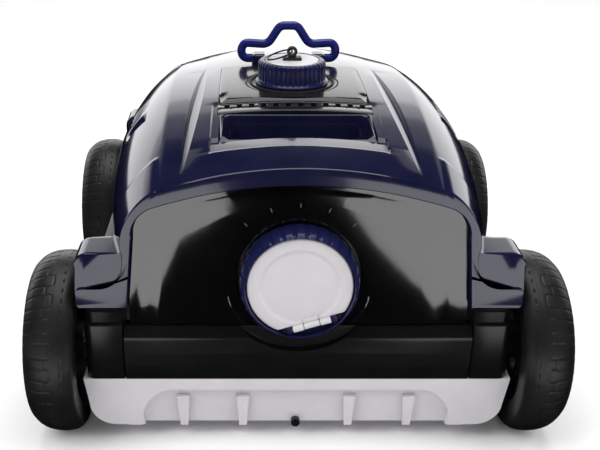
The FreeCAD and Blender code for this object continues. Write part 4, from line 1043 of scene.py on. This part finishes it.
def flat_stage(name, corners, colour, glow=0.0):
    """A plain sheet of the studio. One that glows is seen only in reflections."""
    data = bpy.data.meshes.new(name)
    data.from_pydata([Vector(c) for c in corners], [], [tuple(range(len(corners)))])
    sheet = bpy.data.objects.new(name, data)
    bpy.context.scene.collection.objects.link(sheet)
    material = bpy.data.materials.new(name)
    material.use_nodes = True
    shader = material.node_tree.nodes["Principled BSDF"]
    shader.inputs["Base Color"].default_value = (colour, colour, colour, 1)
    shader.inputs["Roughness"].default_value = 0.6
    shader.inputs["Specular IOR Level"].default_value = 0.0
    if glow:
        shader.inputs["Emission Color"].default_value = (1, 1, 1, 1)
        shader.inputs["Emission Strength"].default_value = glow
        sheet.visible_camera = False
        sheet.visible_diffuse = False
        sheet.visible_shadow = False
    data.materials.append(material)
    return sheet


def area_light(name, place, size, power):
    """A square soft light aimed at the middle of the cleaner."""
    data = bpy.data.lights.new(name, "AREA")
    data.shape = "RECTANGLE"
    data.size = data.size_y = size
    data.energy = power
    light = bpy.data.objects.new(name, data)
    light.location = place
    light.rotation_euler = (Vector((0, 0, 0.1)) - Vector(place)).to_track_quat("-Z", "Y").to_euler()
    bpy.context.scene.collection.objects.link(light)
    return light


def build_stage():
    """The pale floor and backdrop, what the glossy surfaces reflect, and the lights."""
    scene = bpy.context.scene
    world = bpy.data.worlds.new("world")
    world.use_nodes = True
    world.node_tree.nodes["Background"].inputs["Color"].default_value = (1, 1, 1, 1)
    world.node_tree.nodes["Background"].inputs["Strength"].default_value = 0.5
    scene.world = world
    world.cycles_visibility.glossy = False
    scene.view_settings.view_transform = "Standard"
    floor = flat_stage("floor", [(-6, -6, 0), (6, -6, 0), (6, 6, 0), (-6, 6, 0)], 0.9)
    floor.visible_glossy = False
    wall = flat_stage("backdrop", [(-6, 3, 0), (6, 3, 0), (6, 3, 6), (-6, 3, 6)], 0.95)
    wall.visible_glossy = False
    # bands of brightness behind the cleaner, which its roof reflects
    for name, low, high, tone in (("low", 0.0, 1.3, 0.95), ("middle", 1.3, 1.6, 0.5),
                                  ("high", 1.6, 2.1, 0.15)):
        corners = [(-6, 2.9, low), (6, 2.9, low), (6, 2.9, high), (-6, 2.9, high)]
        flat_stage(f"horizon_{name}", corners, 0.0, glow=1.8 * tone)
    # cards on the floor in front, which the front window reflects on each side of the nozzle
    edges = {"left": (-1, [(0.19, -2.0), (0.064, -0.68), (0.085, -0.62), (0.115, -0.57), (0.14, -0.50),
                           (0.17, -0.40)]),
             "right": (1, [(0.26, -2.0), (0.089, -0.68), (0.109, -0.56), (0.137, -0.46), (0.165, -0.40)])}
    for name, (side, inner) in edges.items():
        outline = [(side * x, y, 0.001) for x, y in inner + [(0.6, -0.40), (1.2, -2.0)]]
        flat_stage(f"card_{name}", outline, 0.0, glow=2.3)
    key = area_light("key", (-1.6, -1.2, 2.2), 1.6, 42)
    key.visible_glossy = False
    fill = area_light("fill", (1.8, -0.8, 1.8), 1.4, 30)
    fill.visible_glossy = False
    area_light("top", (0, 0.4, 2.6), 2.2, 34)


def main():
    add_camera()
    build_stage()
    dress_cad_nodes()
    build_shell()
    for end, sign in ENDS:
        build_window(end, sign)
        spin, drop = build_nozzle(end, sign)
        build_flap(end, sign, spin, drop)
        for side_name, side in SIDES:
            name = f"{end}_{side_name}"
            build_tyre(sign, side, name, f"{name}_wheel")
    build_chassis()
    build_hatch()
    build_grille()
    build_grip()
    build_cap()
    build_handle()
    build_lug()


main()
